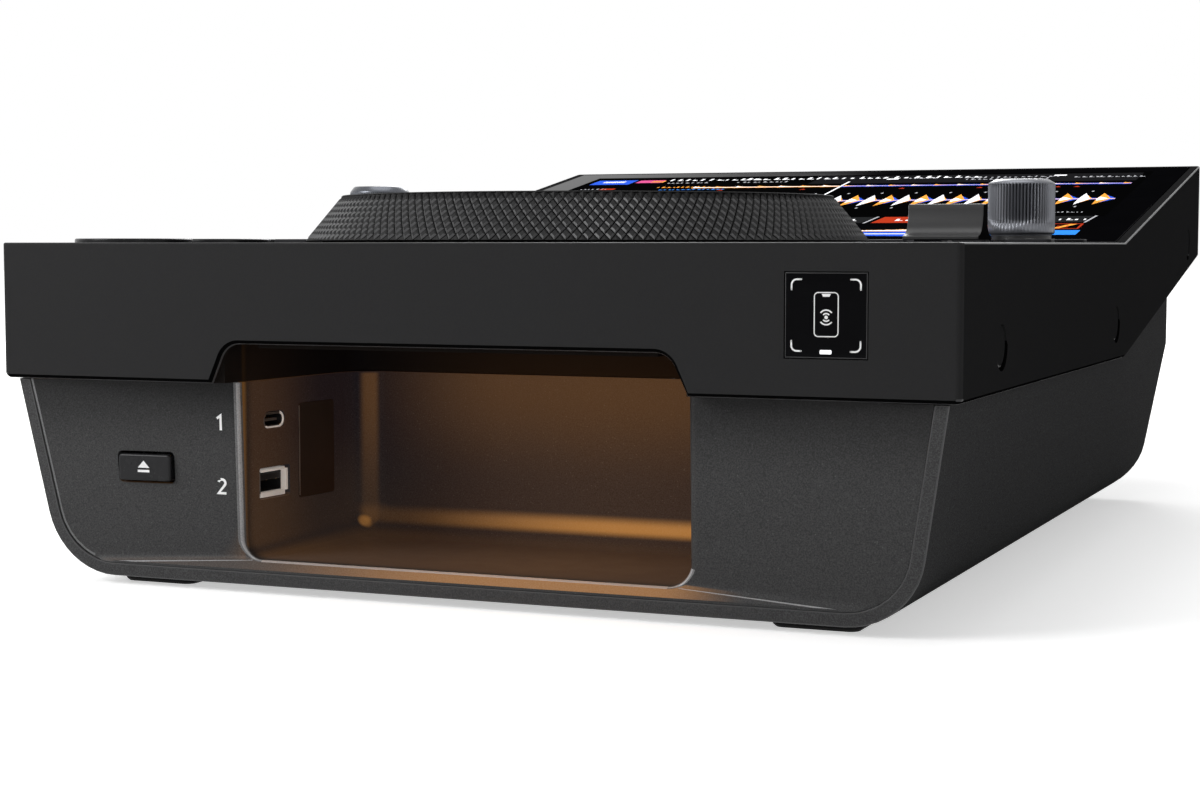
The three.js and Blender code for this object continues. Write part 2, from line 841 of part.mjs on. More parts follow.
// The front panel's face at a share of the way from the rim to the bay.
function panelFaceAt(towardsBay, z) {
  const atRim = shellSetback + faceShift(z);
  const atBay = bayMouthSetback + bayShift(z);
  return THREE.MathUtils.lerp(atRim, atBay, towardsBay);
}

// One front panel, from the rim to the bay. Its outer edge leans with the rim.
function panelSlab(side) {
  const low = shellFloor;
  const high = splitLevel - seatGap;
  const outerX = shellHalf;
  const innerX = bayMouthHalfWidth;
  const geometry = new THREE.BoxGeometry(1, 1, 1);
  geometry.translate(0.5, 0.5, 0.5);
  const position = geometry.attributes.position;
  for (let i = 0; i < position.count; i += 1) {
    const across = position.getX(i);
    const towardsBay = side < 0 ? across : 1 - across;
    const z = THREE.MathUtils.lerp(low, high, position.getZ(i));
    const x = side * THREE.MathUtils.lerp(outerX, innerX, towardsBay);
    position.setXYZ(i, x, panelFaceAt(towardsBay, z) + position.getY(i) * panelWall, z);
  }
  return toSolid(geometry);
}

// The hollow of the bay, with round back corners and round floor edges.
function bayHollow() {
  const high = splitLevel + overrun;
  const plan = alongZ(bayPlan(0, 0), [bayFloor, high], edgeSteps);
  const side = new THREE.Shape();
  side.moveTo(0, high);
  side.lineTo(0, bayFloor);
  side.absarc(bayBackY - bayBackRadius, bayFloor + bayBackRadius, bayBackRadius, 1.5 * Math.PI, 2 * Math.PI);
  side.lineTo(bayBackY, high);
  side.closePath();
  const cornerX = bayMouthHalfWidth - bayFloorRadius;
  const cornerZ = bayFloor + bayFloorRadius;
  const front = new THREE.Shape();
  front.moveTo(bayMouthHalfWidth, high);
  front.lineTo(-bayMouthHalfWidth, high);
  front.absarc(-cornerX, cornerZ, bayFloorRadius, Math.PI, 1.5 * Math.PI);
  front.absarc(cornerX, cornerZ, bayFloorRadius, 1.5 * Math.PI, 2 * Math.PI);
  front.closePath();
  return plan
    .intersect(alongX(side, [-caseHalf, caseHalf], edgeSteps))
    .intersect(alongY(front, [-overrun, caseDepth / 2], edgeSteps));
}

// The frame that the sockets are drawn in: on the bay's left wall, facing into the bay.
function portPlace(setback, rise) {
  const taper = (bayMouthHalfWidth - bayBackHalfWidth) / bayDepth;
  return {
    x: -bayMouthHalfWidth + setback * taper,
    y: bayMouthSetback + setback,
    z: bayFloor + rise,
  };
}

function toPort(solid, place) {
  const geometry = toGeometry(solid);
  geometry.rotateZ(-portTurn);
  geometry.translate(place.x, place.y, place.z);
  return toSolid(geometry);
}

const smallPortPlace = portPlace(smallPortSetback, smallPortRise);
const largePortPlace = portPlace(largePortSetback, largePortRise);

function portBlock(width, height, [x0, x1]) {
  return block([x0, x1], [-width / 2, width / 2], [-height / 2, height / 2]);
}

// A socket outline with round ends, drawn across the port's wall.
function portRacetrack(width, height, [x0, x1]) {
  return alongX(roundedRectangle(width, height, height / 2 - seatGap / 2), [x0, x1], edgeSteps);
}

// The ramp that rises from the rim to the bay's floor.
function rampBar() {
  const low = shellFloor + rimWidth + seatGap;
  const frontY = shellSetback + faceShift(low);
  const lipY = bayMouthSetback + bayShift(bayFloor);
  const backY = lipY + panelWall;
  const profile = polygon([
    [frontY, low],
    [backY, low],
    [backY, bayFloor],
    [lipY, bayFloor],
    [frontY, low + rampStep],
  ]);
  return alongX(profile, [-shellHalf, shellHalf], cornerSteps);
}

// The front moulding: two angled panels, the ramp below them and the tub of the bay.
function buildFrontFascia() {
  const high = splitLevel - seatGap;
  const opening = alongY(shellOutline(rimWidth + seatGap, deckLevel), [0, caseDepth / 2], edgeSteps);
  const panels = joined([panelSlab(-1), panelSlab(1), rampBar()]).intersect(opening);
  const tubFront = bayMouthSetback + panelWall - seatGap;
  const tub = alongZ(bayPlan(bayWall, tubFront), [bayFloor - bayWall, high], edgeSteps);
  const [smallHole, largeHole] = [
    portRacetrack(smallPortWidth + 2 * seatGap, smallPortHeight + 2 * seatGap, [-portDepth, overrun]),
    portBlock(largePortWidth + 2 * seatGap, largePortHeight + 2 * seatGap, [-portDepth, overrun]),
  ];
  const ejectHole = inEjectPlace(ejectBlock(runGap, [-bayDepth / 2, bayDepth / 2]));
  return panels
    .add(tub)
    .subtract(bayHollow())
    .subtract(toPort(smallHole, smallPortPlace))
    .subtract(toPort(largeHole, largePortPlace))
    .subtract(ejectHole);
}

function ejectBlock(margin, depth) {
  const radius = ejectCornerRadius + margin;
  const outline = roundedRectangle(ejectWidth + 2 * margin, ejectHeight + 2 * margin, radius);
  return alongY(outline, depth, cornerSteps);
}

// The eject key's frame: on the left panel's face, turned square to it.
const ejectZ = shellFloor + ejectRise;
const panelSpan = shellHalf - bayMouthHalfWidth;
const ejectTurn = Math.atan2(panelFaceAt(1, ejectZ) - panelFaceAt(0, ejectZ), panelSpan);
const ejectGroup = new THREE.Group();
ejectGroup.position.set(ejectX, panelFaceAt(ejectPlaceShare, ejectZ), ejectZ);
ejectGroup.rotation.z = ejectTurn;
ejectGroup.updateMatrix();

function inEjectPlace(solid) {
  const geometry = toGeometry(solid);
  geometry.applyMatrix4(ejectGroup.matrix);
  return toSolid(geometry);
}

// A socket block behind the bay's wall, with a wide mouth and a narrower slot for the plug.
function buildSmallPort() {
  const body = portRacetrack(smallPortWidth, smallPortHeight, [-portDepth, -seatGap]);
  const mouthWidth = smallPortWidth - 2 * smallPortLip;
  const mouthHeight = smallPortHeight - 2 * smallPortLip;
  const mouth = portRacetrack(mouthWidth, mouthHeight, [-portMouthDepth, overrun]);
  const slot = portRacetrack(smallPortPlugWidth, smallPortPlugHeight, [-portPlugDepth, overrun]);
  return toPort(body.subtract(mouth).subtract(slot), smallPortPlace);
}

function buildLargePort() {
  const body = portBlock(largePortWidth, largePortHeight, [-portDepth, -seatGap]);
  const mouthWidth = largePortWidth - 2 * largePortLip;
  const mouthHeight = largePortHeight - 2 * largePortLip;
  const mouth = portBlock(mouthWidth, mouthHeight, [-portMouthDepth, overrun]);
  const slot = portBlock(largePortPlugWidth, largePortPlugHeight, [-portPlugDepth, overrun]);
  return toPort(body.subtract(mouth).subtract(slot), largePortPlace);
}

// The board that holds the key switches, cut clear of what passes through it.
function buildKeyBoard() {
  const plate = block(
    [-keyBoardHalf, keyBoardHalf],
    [keyBoardFront, keyBoardBack],
    [keyBoardUnderside, keyBoardTop],
  );
  const cut = [keyBoardUnderside - overrun, keyBoardTop + overrun];
  const railHalf = faderBodyWidth / 2 + runGap;
  const railReach = (faderStroke + faderStemDepth) / 2 + faderBodyMargin + runGap;
  const encoderHalf = encoderWidth / 2 + seatGap;
  const leverHalf = leverWidth / 2 + leverCheekWall + runGap;
  const leverReach = leverSlotLength / 2 + runGap;
  const cuts = [
    moved(post(jogBaseRadius + runGap, cut, knobSides), jogX, jogY, 0),
    block(around(faderX, railHalf), around(faderY, railReach), cut),
    moved(post(browseCollarRadius + runGap, cut, shaftSides), browseX, browseY, 0),
    block(around(browseX, encoderHalf), around(browseY, encoderHalf), cut),
    block(around(dialX, encoderHalf), around(dialY, encoderHalf), cut),
    block(around(keyColumnX, leverHalf), around(leverY, leverReach), cut),
  ];
  return plate.subtract(joined(cuts));
}

// The fixed base of the jog wheel: a disc under the deck with a tube for the shaft.
function buildJogBase() {
  const bore = jogShaftRadius + seatGap;
  const boss = bore + jogBossWall;
  const top = deckUnderside - seatGap;
  const bossTop = deckLevel;
  return turned(
    [
      [bore, top - jogBaseDrop],
      [boss, top - jogBaseDrop],
      [boss, top - jogBaseWall],
      [jogBaseRadius, top - jogBaseWall],
      [jogBaseRadius, top],
      [boss, top],
      [boss, bossTop],
      [bore, bossTop],
      [bore, top - jogBaseDrop],
    ],
    knobSides,
  );
}

// The knurled ring, with a ledge inside that the top plate rests on.
function buildJogRing() {
  const low = jogDeckGap;
  const rim = jogTopRadius - jogRimFlat;
  const ledge = jogHeight - jogDish - jogPlateWall;
  const inner = rim - jogDish - jogRingWall;
  const skirtInner = jogRadius - jogRingWall;
  return turned(
    [
      [skirtInner, low],
      [jogRadius, low],
      [jogTopRadius, jogHeight],
      [rim, jogHeight],
      [rim - jogDish, jogHeight - jogDish],
      [rim - jogDish, ledge],
      [inner, ledge],
      [inner, ledge - jogRingWall],
      [rim - jogDish, ledge - jogRingWall],
      [skirtInner, low],
    ],
    jogSides,
  );
}

const jogPlateRadius = jogTopRadius - jogRimFlat - jogDish - seatGap;
const jogPlateTop = jogHeight - jogDish;
const jogPlateUnderside = jogPlateTop - jogPlateWall + seatGap;
const jogWindowFloor = jogPlateTop - jogWindowWall - seatGap;

function buildJogPlate() {
  const recess = jogWindowRadius + seatGap;
  return turned(
    [
      [0, jogPlateUnderside],
      [jogPlateRadius, jogPlateUnderside],
      [jogPlateRadius, jogPlateTop],
      [recess, jogPlateTop],
      [recess, jogWindowFloor],
      [0, jogWindowFloor],
    ],
    jogSides,
  );
}

function buildJogShaft() {
  const top = jogPlateUnderside - seatGap;
  return turned(
    [
      [0, -jogShaftDrop],
      [jogShaftRadius, -jogShaftDrop],
      [jogShaftRadius, top - jogFlangeWall],
      [jogFlangeRadius, top - jogFlangeWall],
      [jogFlangeRadius, top],
      [0, top],
    ],
    knobSides,
  );
}

// A key: a cap through the deck with a flange under it that keeps it in.
function buildKey(key) {
  const steps = keySteps(key);
  const flangeTop = -deckWall - seatGap;
  const cap = alongZ(keyOutline(key, 0), [flangeTop - keyFlangeWall / 2, keyHeight], steps);
  const flange = alongZ(keyOutline(key, keyFlange), [flangeTop - keyFlangeWall, flangeTop], steps);
  return cap.add(flange);
}

// The fader's body: a channel under the deck with its slot on top.
function buildTempoRail() {
  const top = deckUnderside - seatGap;
  const halfWidth = faderBodyWidth / 2;
  const reach = (faderStroke + faderStemDepth) / 2;
  const outer = block(
    [-halfWidth, halfWidth],
    [-reach - faderBodyMargin, reach + faderBodyMargin],
    [top - faderBodyHeight, top],
  );
  const slotHalf = faderSlotWidth / 2;
  const slotReach = reach + runGap;
  const slotFloor = top - faderBodyHeight + faderBodyWall;
  const slot = block([-slotHalf, slotHalf], [-slotReach, slotReach], [slotFloor, top + overrun]);
  return outer.subtract(slot);
}

// The fader's cap: hollow flanks up to a narrow top, and a stem that reaches into the rail.
function buildTempoCap() {
  const low = faderCapLift;
  const high = low + faderCapHeight;
  const toe = low + faderCapToe;
  const half = faderCapDepth / 2;
  const topHalf = faderCapTopDepth / 2;
  const side = new THREE.Shape();
  side.moveTo(-half, low);
  side.lineTo(half, low);
  side.lineTo(half, toe);
  side.quadraticCurveTo(topHalf, toe, topHalf, high);
  side.lineTo(-topHalf, high);
  side.quadraticCurveTo(-topHalf, toe, -half, toe);
  side.closePath();
  const cap = alongX(side, [-faderCapWidth / 2, faderCapWidth / 2], edgeSteps);
  const stemLow = -deckWall - faderBodyHeight / 2;
  const stem = block(
    [-faderStemWidth / 2, faderStemWidth / 2],
    [-faderStemDepth / 2, faderStemDepth / 2],
    [stemLow, low + faderStemSeat],
  );
  return cap.add(stem);
}

// A round knob with a bevelled top and a shaft that reaches through the deck.
function buildKnob(radius, height, bevel, lift) {
  return turned(
    [
      [0, -deckWall - knobShaftSeat],
      [knobShaftRadius, -deckWall - knobShaftSeat],
      [knobShaftRadius, lift],
      [radius, lift],
      [radius, height - bevel],
      [radius - bevel, height],
      [0, height],
    ],
    knobSides,
  );
}

// The encoder under the deck, with a collar that shows round the browse knob's foot.
function buildBrowseEncoder() {
  const half = encoderWidth / 2;
  const top = -deckWall - seatGap;
  const body = block([-half, half], [-half, half], [top - encoderHeight, top]);
  const collar = post(browseCollarRadius, [top - seatGap, browseCollarHeight], shaftSides);
  const collarSeat = post(browseCollarRadius, [top - encoderHeight / 2, top], shaftSides);
  const bore = post(
    knobShaftRadius + seatGap,
    [-deckWall - knobShaftSeat - browseTravel - seatGap, browseCollarHeight + overrun],
    shaftSides,
  );
  return body.add(collarSeat).add(collar).subtract(bore);
}

function buildSpeedPot() {
  const half = encoderWidth / 2;
  const top = -deckWall - seatGap;
  const body = block([-half, half], [-half, half], [top - encoderHeight, top]);
  const bore = post(
    knobShaftRadius + seatGap,
    [-deckWall - knobShaftSeat - seatGap, top + overrun],
    shaftSides,
  );
  return body.subtract(bore);
}

// The lever that sets the playing direction, drawn about its pivot.
function buildLever() {
  const half = leverWidth / 2;
  const reach = leverThickness / 2;
  const arm = block([-half, half], [-reach, reach], [0, leverPivotDrop + leverHeight]);
  const hub = alongX(disc(leverPivotRadius), [-half, half], edgeSteps);
  return arm.add(hub);
}

// The cheeks under the deck that the lever turns between.
function buildLeverBracket() {
  const innerHalf = leverWidth / 2 + seatGap;
  const outerHalf = innerHalf + leverCheekWall;
  const reach = leverSlotLength / 2;
  const top = leverPivotDrop - deckWall - seatGap;
  const low = -leverPivotRadius - seatGap - leverCheekWall;
  const cheeks = block([-outerHalf, outerHalf], [-reach, reach], [low, top]);
  const levels = [low + leverCheekWall, top + overrun];
  const gap = block([-innerHalf, innerHalf], [-reach - overrun, reach + overrun], levels);
  return cheeks.subtract(gap);
}

function buildFoot() {
  const outline = roundedRectangle(footWidth, footDepth, footRadius);
  return alongZ(outline, [0, footHeight - seatGap], cornerSteps);
}

function buildMainBoard() {
  const half = mainBoardWidth / 2;
  const reach = mainBoardDepth / 2;
  return block([-half, half], [-reach, reach], [0, boardWall]);
}

function buildSupply() {
  const half = supplyWidth / 2;
  const reach = supplyDepth / 2;
  return block([-half, half], [-reach, reach], [0, supplyHeight]);
}

// The glass over the whole slope, and the screen under it.
function buildGlass() {
  const half = caseHalf - glassSideMargin;
  return onSlope(block([-half, half], [glassEndMargin, slopeLength - glassEndMargin], [-glassWall, 0]));
}

function buildScreen() {
  const half = litWidth / 2 + screenFrame;
  const start = litFrontMargin - screenFrame;
  const end = litFrontMargin + litHeight + screenFrame;
  const top = -glassWall - seatGap;
  return onSlope(block([-half, half], [start, end], [top - screenThickness, top]));
}

// The rear panel's frame: inside the leaning back wall, with Y pointing out of it.
const rearCentreZ = shellFloor + rearPanelRise + rearPanelHeight / 2;
const rearGroup = new THREE.Group();
rearGroup.position.set(0, shellBackY - shellWall - sideShift(rearCentreZ), rearCentreZ);
rearGroup.rotation.x = -shellSideLean;

function buildRearPanel() {
  const halfWidth = rearPanelWidth / 2;
  const halfHeight = rearPanelHeight / 2;
  const span = [-rearPanelWall - seatGap, -seatGap];
  const plate = block([-halfWidth, halfWidth], span, [-halfHeight, halfHeight]);
  const cut = [-rearPanelWall - seatGap - overrun, overrun];
  const cuts = [
    socketBlock(inletX, inletWidth + 2 * seatGap, inletHeight + 2 * seatGap, cut),
    socketBlock(switchX, switchWidth + 2 * switchGap, switchHeight + 2 * switchGap, cut),
    socketBlock(networkX, networkWidth + 2 * seatGap, networkHeight + 2 * seatGap, cut),
  ];
  for (let i = 0; i < jackCount; i += 1) {
    cuts.push(jackPost(i, jackRadius + seatGap, cut));
  }
  return plate.subtract(joined(cuts));
}

function socketBlock(x, width, height, depth) {
  return block([x - width / 2, x + width / 2], depth, [-height / 2, height / 2]);
}

function jackPost(index, radius, [y0, y1]) {
  const shape = new THREE.Shape().absarc(0, 0, radius, 0, 2 * Math.PI);
  return moved(alongY(shape, [y0, y1], edgeSteps), jackX + index * jackSpacing, 0, 0);
}

function buildInlet() {
  const face = -seatGap;
  const body = socketBlock(inletX, inletWidth, inletHeight, [face - inletDepth, face + inletProud]);
  const innerWidth = inletWidth - 2 * inletLip;
  const innerHeight = inletHeight - 2 * inletLip;
  const depth = [face - inletDepth + inletWall, face + inletProud + overrun];
  const hollow = socketBlock(inletX, innerWidth, innerHeight, depth);
  return body.subtract(hollow);
}

// The rocker, drawn about its pivot in the plane of the panel's face.
function buildSwitch() {
  const half = switchWidth / 2;
  const reach = switchHeight / 2;
  const back = switchProud - switchThickness;
  const profile = polygon([
    [back, -reach],
    [switchProud, -reach],
    [switchProud / 2, 0],
    [switchProud, reach],
    [back, reach],
  ]);
  return alongX(profile, [-half, half], cornerSteps);
}

// Three jacks on one moulded block behind the panel.
function buildJacks() {
  const behind = -seatGap - rearPanelWall - seatGap;
  const left = jackX - jackBlockMargin;
  const right = jackX + (jackCount - 1) * jackSpacing + jackBlockMargin;
  const half = jackBlockHeight / 2;
  let jacks = block([left, right], [behind - jackBlockDepth, behind], [-half, half]);
  for (let i = 0; i < jackCount; i += 1) {
    const reach = -seatGap + jackReach;
    jacks = jacks.add(jackPost(i, jackRadius, [behind - seatGap, reach]));
    jacks = jacks.subtract(jackPost(i, jackHoleRadius, [behind, reach + overrun]));
  }
  return jacks;
}

function buildNetworkSocket() {
  const face = -seatGap;
  const body = socketBlock(networkX, networkWidth, networkHeight, [face - networkDepth, face]);
  const depth = [face - networkHoleDepth, face + overrun];
  const hole = socketBlock(networkX, networkHoleWidth, networkHoleHeight, depth);
  return body.subtract(hole);
}

// Casing and front
addPiece("top_case", buildTopCase(), caseFinish);
addPiece("lower_shell", buildLowerShell(), shellFinish);
addPiece("front_fascia", buildFrontFascia(), shellFinish);
const barHalf = lightBarLength / 2;
const barTop = bayRoof - seatGap;
const bar = block(
  [-barHalf, barHalf],
  [caseWall + lightBarSetback, caseWall + lightBarSetback + lightBarDepth],
  [barTop - lightBarHeight, barTop],
);
addPiece("bay_light_bar", bar, lightFinish);
addPiece("small_media_socket", buildSmallPort(), metalFinish);
addPiece("large_media_socket", buildLargePort(), metalFinish);
player.add(ejectGroup);
addPiece("eject_key", ejectBlock(0, [-ejectProud, ejectDepth]), keyFinish, [0, 0, 0], ejectGroup);

// Contactless window and side plugs
const tapX = caseHalf - tapWindowSideMargin - tapWindowSize / 2;
const tapZ = deckLevel - tapWindowDrop - tapWindowSize / 2;
const tapHalf = tapWindowSize / 2;
const tapPane = block([-tapHalf, tapHalf], [0, tapWindowWall], [-tapHalf, tapHalf]);
addPiece("tap_window", tapPane, glassFinish, [tapX, 0, tapZ]);
plugPlaces().forEach(({ y, z }, index) => {
  addPiece(`left_plug_${index + 1}`, plugDisc(-1, y, z, plugRadius, plugWall, 0), keyFinish);
  addPiece(`right_plug_${index + 1}`, plugDisc(1, y, z, plugRadius, plugWall, 0), keyFinish);
});

// Screen
addPiece("display_glass", buildGlass(), glassFinish);
addPiece("display_panel", buildScreen(), screenFinish);

// Jog wheel
const jog = new THREE.Group();
jog.position.set(jogX, jogY, deckLevel);
player.add(jog);
addPiece("jog_ring", buildJogRing(), jogFinish, [0, 0, 0], jog);
addPiece("jog_top_plate", buildJogPlate(), jogFinish, [0, 0, 0], jog);
const jogWindow = post(jogWindowRadius, [0, jogWindowWall], knobSides);
addPiece("jog_window", jogWindow, glassFinish, [0, 0, jogWindowFloor + seatGap], jog);
addPiece("jog_shaft", buildJogShaft(), metalFinish, [0, 0, 0], jog);
addPiece("jog_base", buildJogBase(), socketFinish, [jogX, jogY, 0]);

// Keys and their board
for (const key of roundKeys) {
  addPiece(key.name, buildKey(key), keyFinish, [key.x, key.y, deckLevel]);
}
for (const key of squareKeys) {
  addPiece(key.name, buildKey(key), padFinish, [key.x, key.y, deckLevel]);
}
addPiece("key_board", buildKeyBoard(), boardFinish);

// Fader, knobs and lever
addPiece("tempo_rail", buildTempoRail(), socketFinish, [faderX, faderY, 0]);
addPiece("tempo_cap", buildTempoCap(), keyFinish, [faderX, faderY, deckLevel]);
addPiece("browse_encoder", buildBrowseEncoder(), socketFinish, [browseX, browseY, deckLevel]);
const browseKnob = buildKnob(browseRadius, browseHeight, browseTopBevel, browseLift);
addPiece("browse_knob", browseKnob, knobFinish, [browseX, browseY, deckLevel]);
addPiece("speed_pot", buildSpeedPot(), socketFinish, [dialX, dialY, deckLevel]);
const speedDial = buildKnob(dialRadius, dialHeight, dialTopBevel, dialLift);
addPiece("speed_dial", speedDial, knobFinish, [dialX, dialY, deckLevel]);
const leverPivot = [keyColumnX, leverY, deckLevel - leverPivotDrop];
addPiece("direction_lever", buildLever(), keyFinish, leverPivot);
addPiece("lever_bracket", buildLeverBracket(), socketFinish, leverPivot);

// Feet
const footX = caseHalf - footSideInset - footWidth / 2;
const footFrontY = footFrontSetback + footDepth / 2;
const footBackY = shellBackY - footBackMargin - footDepth / 2 - faceShift(shellFloor);
for (const [name, x, y] of [
  ["foot_front_left", -footX, footFrontY],
  ["foot_front_right", footX, footFrontY],
  ["foot_back_left", -footX, footBackY],
  ["foot_back_right", footX, footBackY],
]) {
  addPiece(name, buildFoot(), rubberFinish, [x, y, 0]);
}

// Inside and rear
addPiece("main_board", buildMainBoard(), boardFinish, [mainBoardX, mainBoardY, shellFloor + mainBoardRise]);
addPiece("power_supply", buildSupply(), metalFinish, [supplyX, supplyY, shellFloor + supplyRise]);
player.add(rearGroup);
addPiece("rear_panel", buildRearPanel(), caseFinish, [0, 0, 0], rearGroup);
addPiece("power_inlet", buildInlet(), socketFinish, [0, 0, 0], rearGroup);
addPiece("power_switch", buildSwitch(), keyFinish, [switchX, -seatGap, 0], rearGroup);
addPiece("audio_jacks", buildJacks(), metalFinish, [0, 0, 0], rearGroup);
addPiece("network_socket", buildNetworkSocket(), socketFinish, [0, 0, 0], rearGroup);

player.position.set(0, -caseDepth / 2, 0);
const root = new THREE.Group();
root.add(player);

export default root;
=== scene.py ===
"""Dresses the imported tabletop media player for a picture.

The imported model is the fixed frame. Each operator builds one piece or one group of like
pieces on it. Lengths in this file are millimetres, and MM turns them into Blender's metres.
"""

import json
import math
import random

import bmesh
import bpy
from bpy.props import FloatProperty, FloatVectorProperty, IntProperty, PointerProperty
from mathutils import Matrix, Vector

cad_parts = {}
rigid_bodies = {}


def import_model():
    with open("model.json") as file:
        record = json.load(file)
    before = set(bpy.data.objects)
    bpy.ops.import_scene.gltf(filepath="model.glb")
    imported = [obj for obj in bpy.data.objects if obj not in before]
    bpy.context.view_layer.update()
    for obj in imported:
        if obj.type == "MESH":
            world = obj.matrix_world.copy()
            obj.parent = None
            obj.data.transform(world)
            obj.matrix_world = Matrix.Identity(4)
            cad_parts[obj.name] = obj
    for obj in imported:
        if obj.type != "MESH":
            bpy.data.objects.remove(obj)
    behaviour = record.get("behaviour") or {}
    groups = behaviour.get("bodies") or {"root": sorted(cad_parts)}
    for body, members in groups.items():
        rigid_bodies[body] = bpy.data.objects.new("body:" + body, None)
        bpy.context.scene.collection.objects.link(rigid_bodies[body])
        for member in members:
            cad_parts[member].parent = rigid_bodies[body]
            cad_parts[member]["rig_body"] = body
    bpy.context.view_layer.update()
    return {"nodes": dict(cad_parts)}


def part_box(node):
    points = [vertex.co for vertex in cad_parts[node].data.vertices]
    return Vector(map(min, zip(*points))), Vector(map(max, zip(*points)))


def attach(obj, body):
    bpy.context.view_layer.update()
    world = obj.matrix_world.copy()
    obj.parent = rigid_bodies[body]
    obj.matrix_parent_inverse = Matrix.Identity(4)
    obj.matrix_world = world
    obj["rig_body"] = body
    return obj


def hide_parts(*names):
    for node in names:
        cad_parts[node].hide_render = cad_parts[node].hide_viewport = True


bl_info = {
    "name": "Tabletop media player",
    "version": (1, 0, 0),
    "blender": (4, 5, 0),
    "location": "View3D > Sidebar > Player",
    "description": "Builds the visible pieces of a tabletop media player on its packed frame",
    "category": "Object",
}

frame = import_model()

MM = 0.001


class Box:
    """The extents of a frame node, in millimetres."""

    def __init__(self, node):
        low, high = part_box(node)
        self.low, self.high = low / MM, high / MM
        self.centre = (self.low + self.high) / 2
        self.radius = (self.high.x - self.low.x) / 2

    def plane(self, level):
        """A level plane over the node's middle."""
        return Matrix.Translation((self.centre.x, self.centre.y, level))


CASE = Box("top_case")
HALF, FRONT, BACK, SPLIT = CASE.high.x, CASE.low.y, CASE.high.y, CASE.low.z
DECK = Box("jog_base").high.z
SLOPE_START = 30.0
SLOPE_TURN = math.atan2(CASE.high.z - DECK, BACK - SLOPE_START)
SLOPE = Matrix.Translation((0, SLOPE_START, DECK)) @ Matrix.Rotation(SLOPE_TURN, 4, "X")
SHELL_HALF = Box("lower_shell").high.x
SIDE_LEAN, FACE_LEAN, BAY_LEAN = (math.tan(math.radians(turn)) for turn in (9.6, 5.8, 1.9))
RIM_SETBACK = 3.0
BAY_HALF, BAY_BACK_HALF, HOOD_WALL = 78.6, 75.2, 78.96
BAY_SETBACK, BAY_DEPTH, BAY_FLOOR = 11.2, 73.8, 11.0
PORT_TURN = math.atan2(BAY_HALF - BAY_BACK_HALF, BAY_DEPTH)
JOG = Box("jog_ring")


# Sizes and colours that a user may change


def length(name, description, default):
    return FloatProperty(name=name, description=description, default=default * MM, unit="LENGTH")


def tally(name, description, default):
    return IntProperty(name=name, description=description, default=default)


def colour(name, description, default):
    return FloatVectorProperty(
        name=name, description=description, default=default, subtype="COLOR", min=0, max=1
    )


class PlayerSizes(bpy.types.PropertyGroup):
    """Lengths and counts of the visible detail."""

    top_edge: length("Top edge", "Width of the chamfer round the deck", 0.55)
    low_edge: length("Lower edge", "Width of the chamfer round the skirt's foot", 1.3)
    bay_edge: length("Bay edge", "Radius of the bay's upright front edges", 2.9)
    knurl_count: tally("Knurl count", "Diamonds round the jog ring", 178)
    knurl_rows: tally("Knurl rows", "Offset rows of diamonds up the jog ring's slant", 8)
    knurl_depth: length("Knurl depth", "Height of the jog ring's diamonds", 0.8)
    rib_count: tally("Knob ribs", "Ribs round the browse knob", 60)
    rib_depth: length("Rib depth", "Depth of the browse knob's ribs", 0.8)
    dial_rib_count: tally("Dial ribs", "Ribs round the speed dial", 96)


class PlayerColours(bpy.types.PropertyGroup):
    """Colours of the finishes."""

    case: colour("Case", "Satin paint of the top case", (0.0185, 0.0185, 0.0190))
    shell: colour("Shell", "Speckled paint of the lower shell", (0.032, 0.032, 0.0325))
    speck: colour("Speck", "Light specks in the shell's paint", (0.060, 0.060, 0.061))
    knurl: colour("Knurl", "Knurled rubber of the jog ring", (0.021, 0.021, 0.0215))
    knob: colour("Knob", "Blue-grey metal of the knobs", (0.150, 0.155, 0.172))
    dial: colour("Dial", "Polished metal of the speed dial", (0.19, 0.20, 0.225))
    key: colour("Key", "Dark plastic of the keys", (0.009, 0.009, 0.010))
    glass: colour("Glass", "Black of the glass", (0.0025, 0.0025, 0.003))
    amber: colour("Amber", "Light in the bay", (1.0, 0.42, 0.08))
    mark: colour("Mark", "Printed marks", (0.80, 0.80, 0.80))
    play_light: colour("Play light", "Ring in the play button", (0.05, 0.62, 0.16))
    cue_light: colour("Cue light", "Ring in the cue button", (0.95, 0.36, 0.03))
    wave_blue: colour("Blue wave", "Low band of the wave forms", (0.025, 0.09, 0.60))
    wave_orange: colour("Orange wave", "Middle band of the wave forms", (0.80, 0.33, 0.05))


# Shared effects


def fill(node, **values):
    """Sets a node's inputs. An underscore in a label stands for a space."""
    for label, value in values.items():
        node.inputs[label.replace("_", " ")].default_value = value


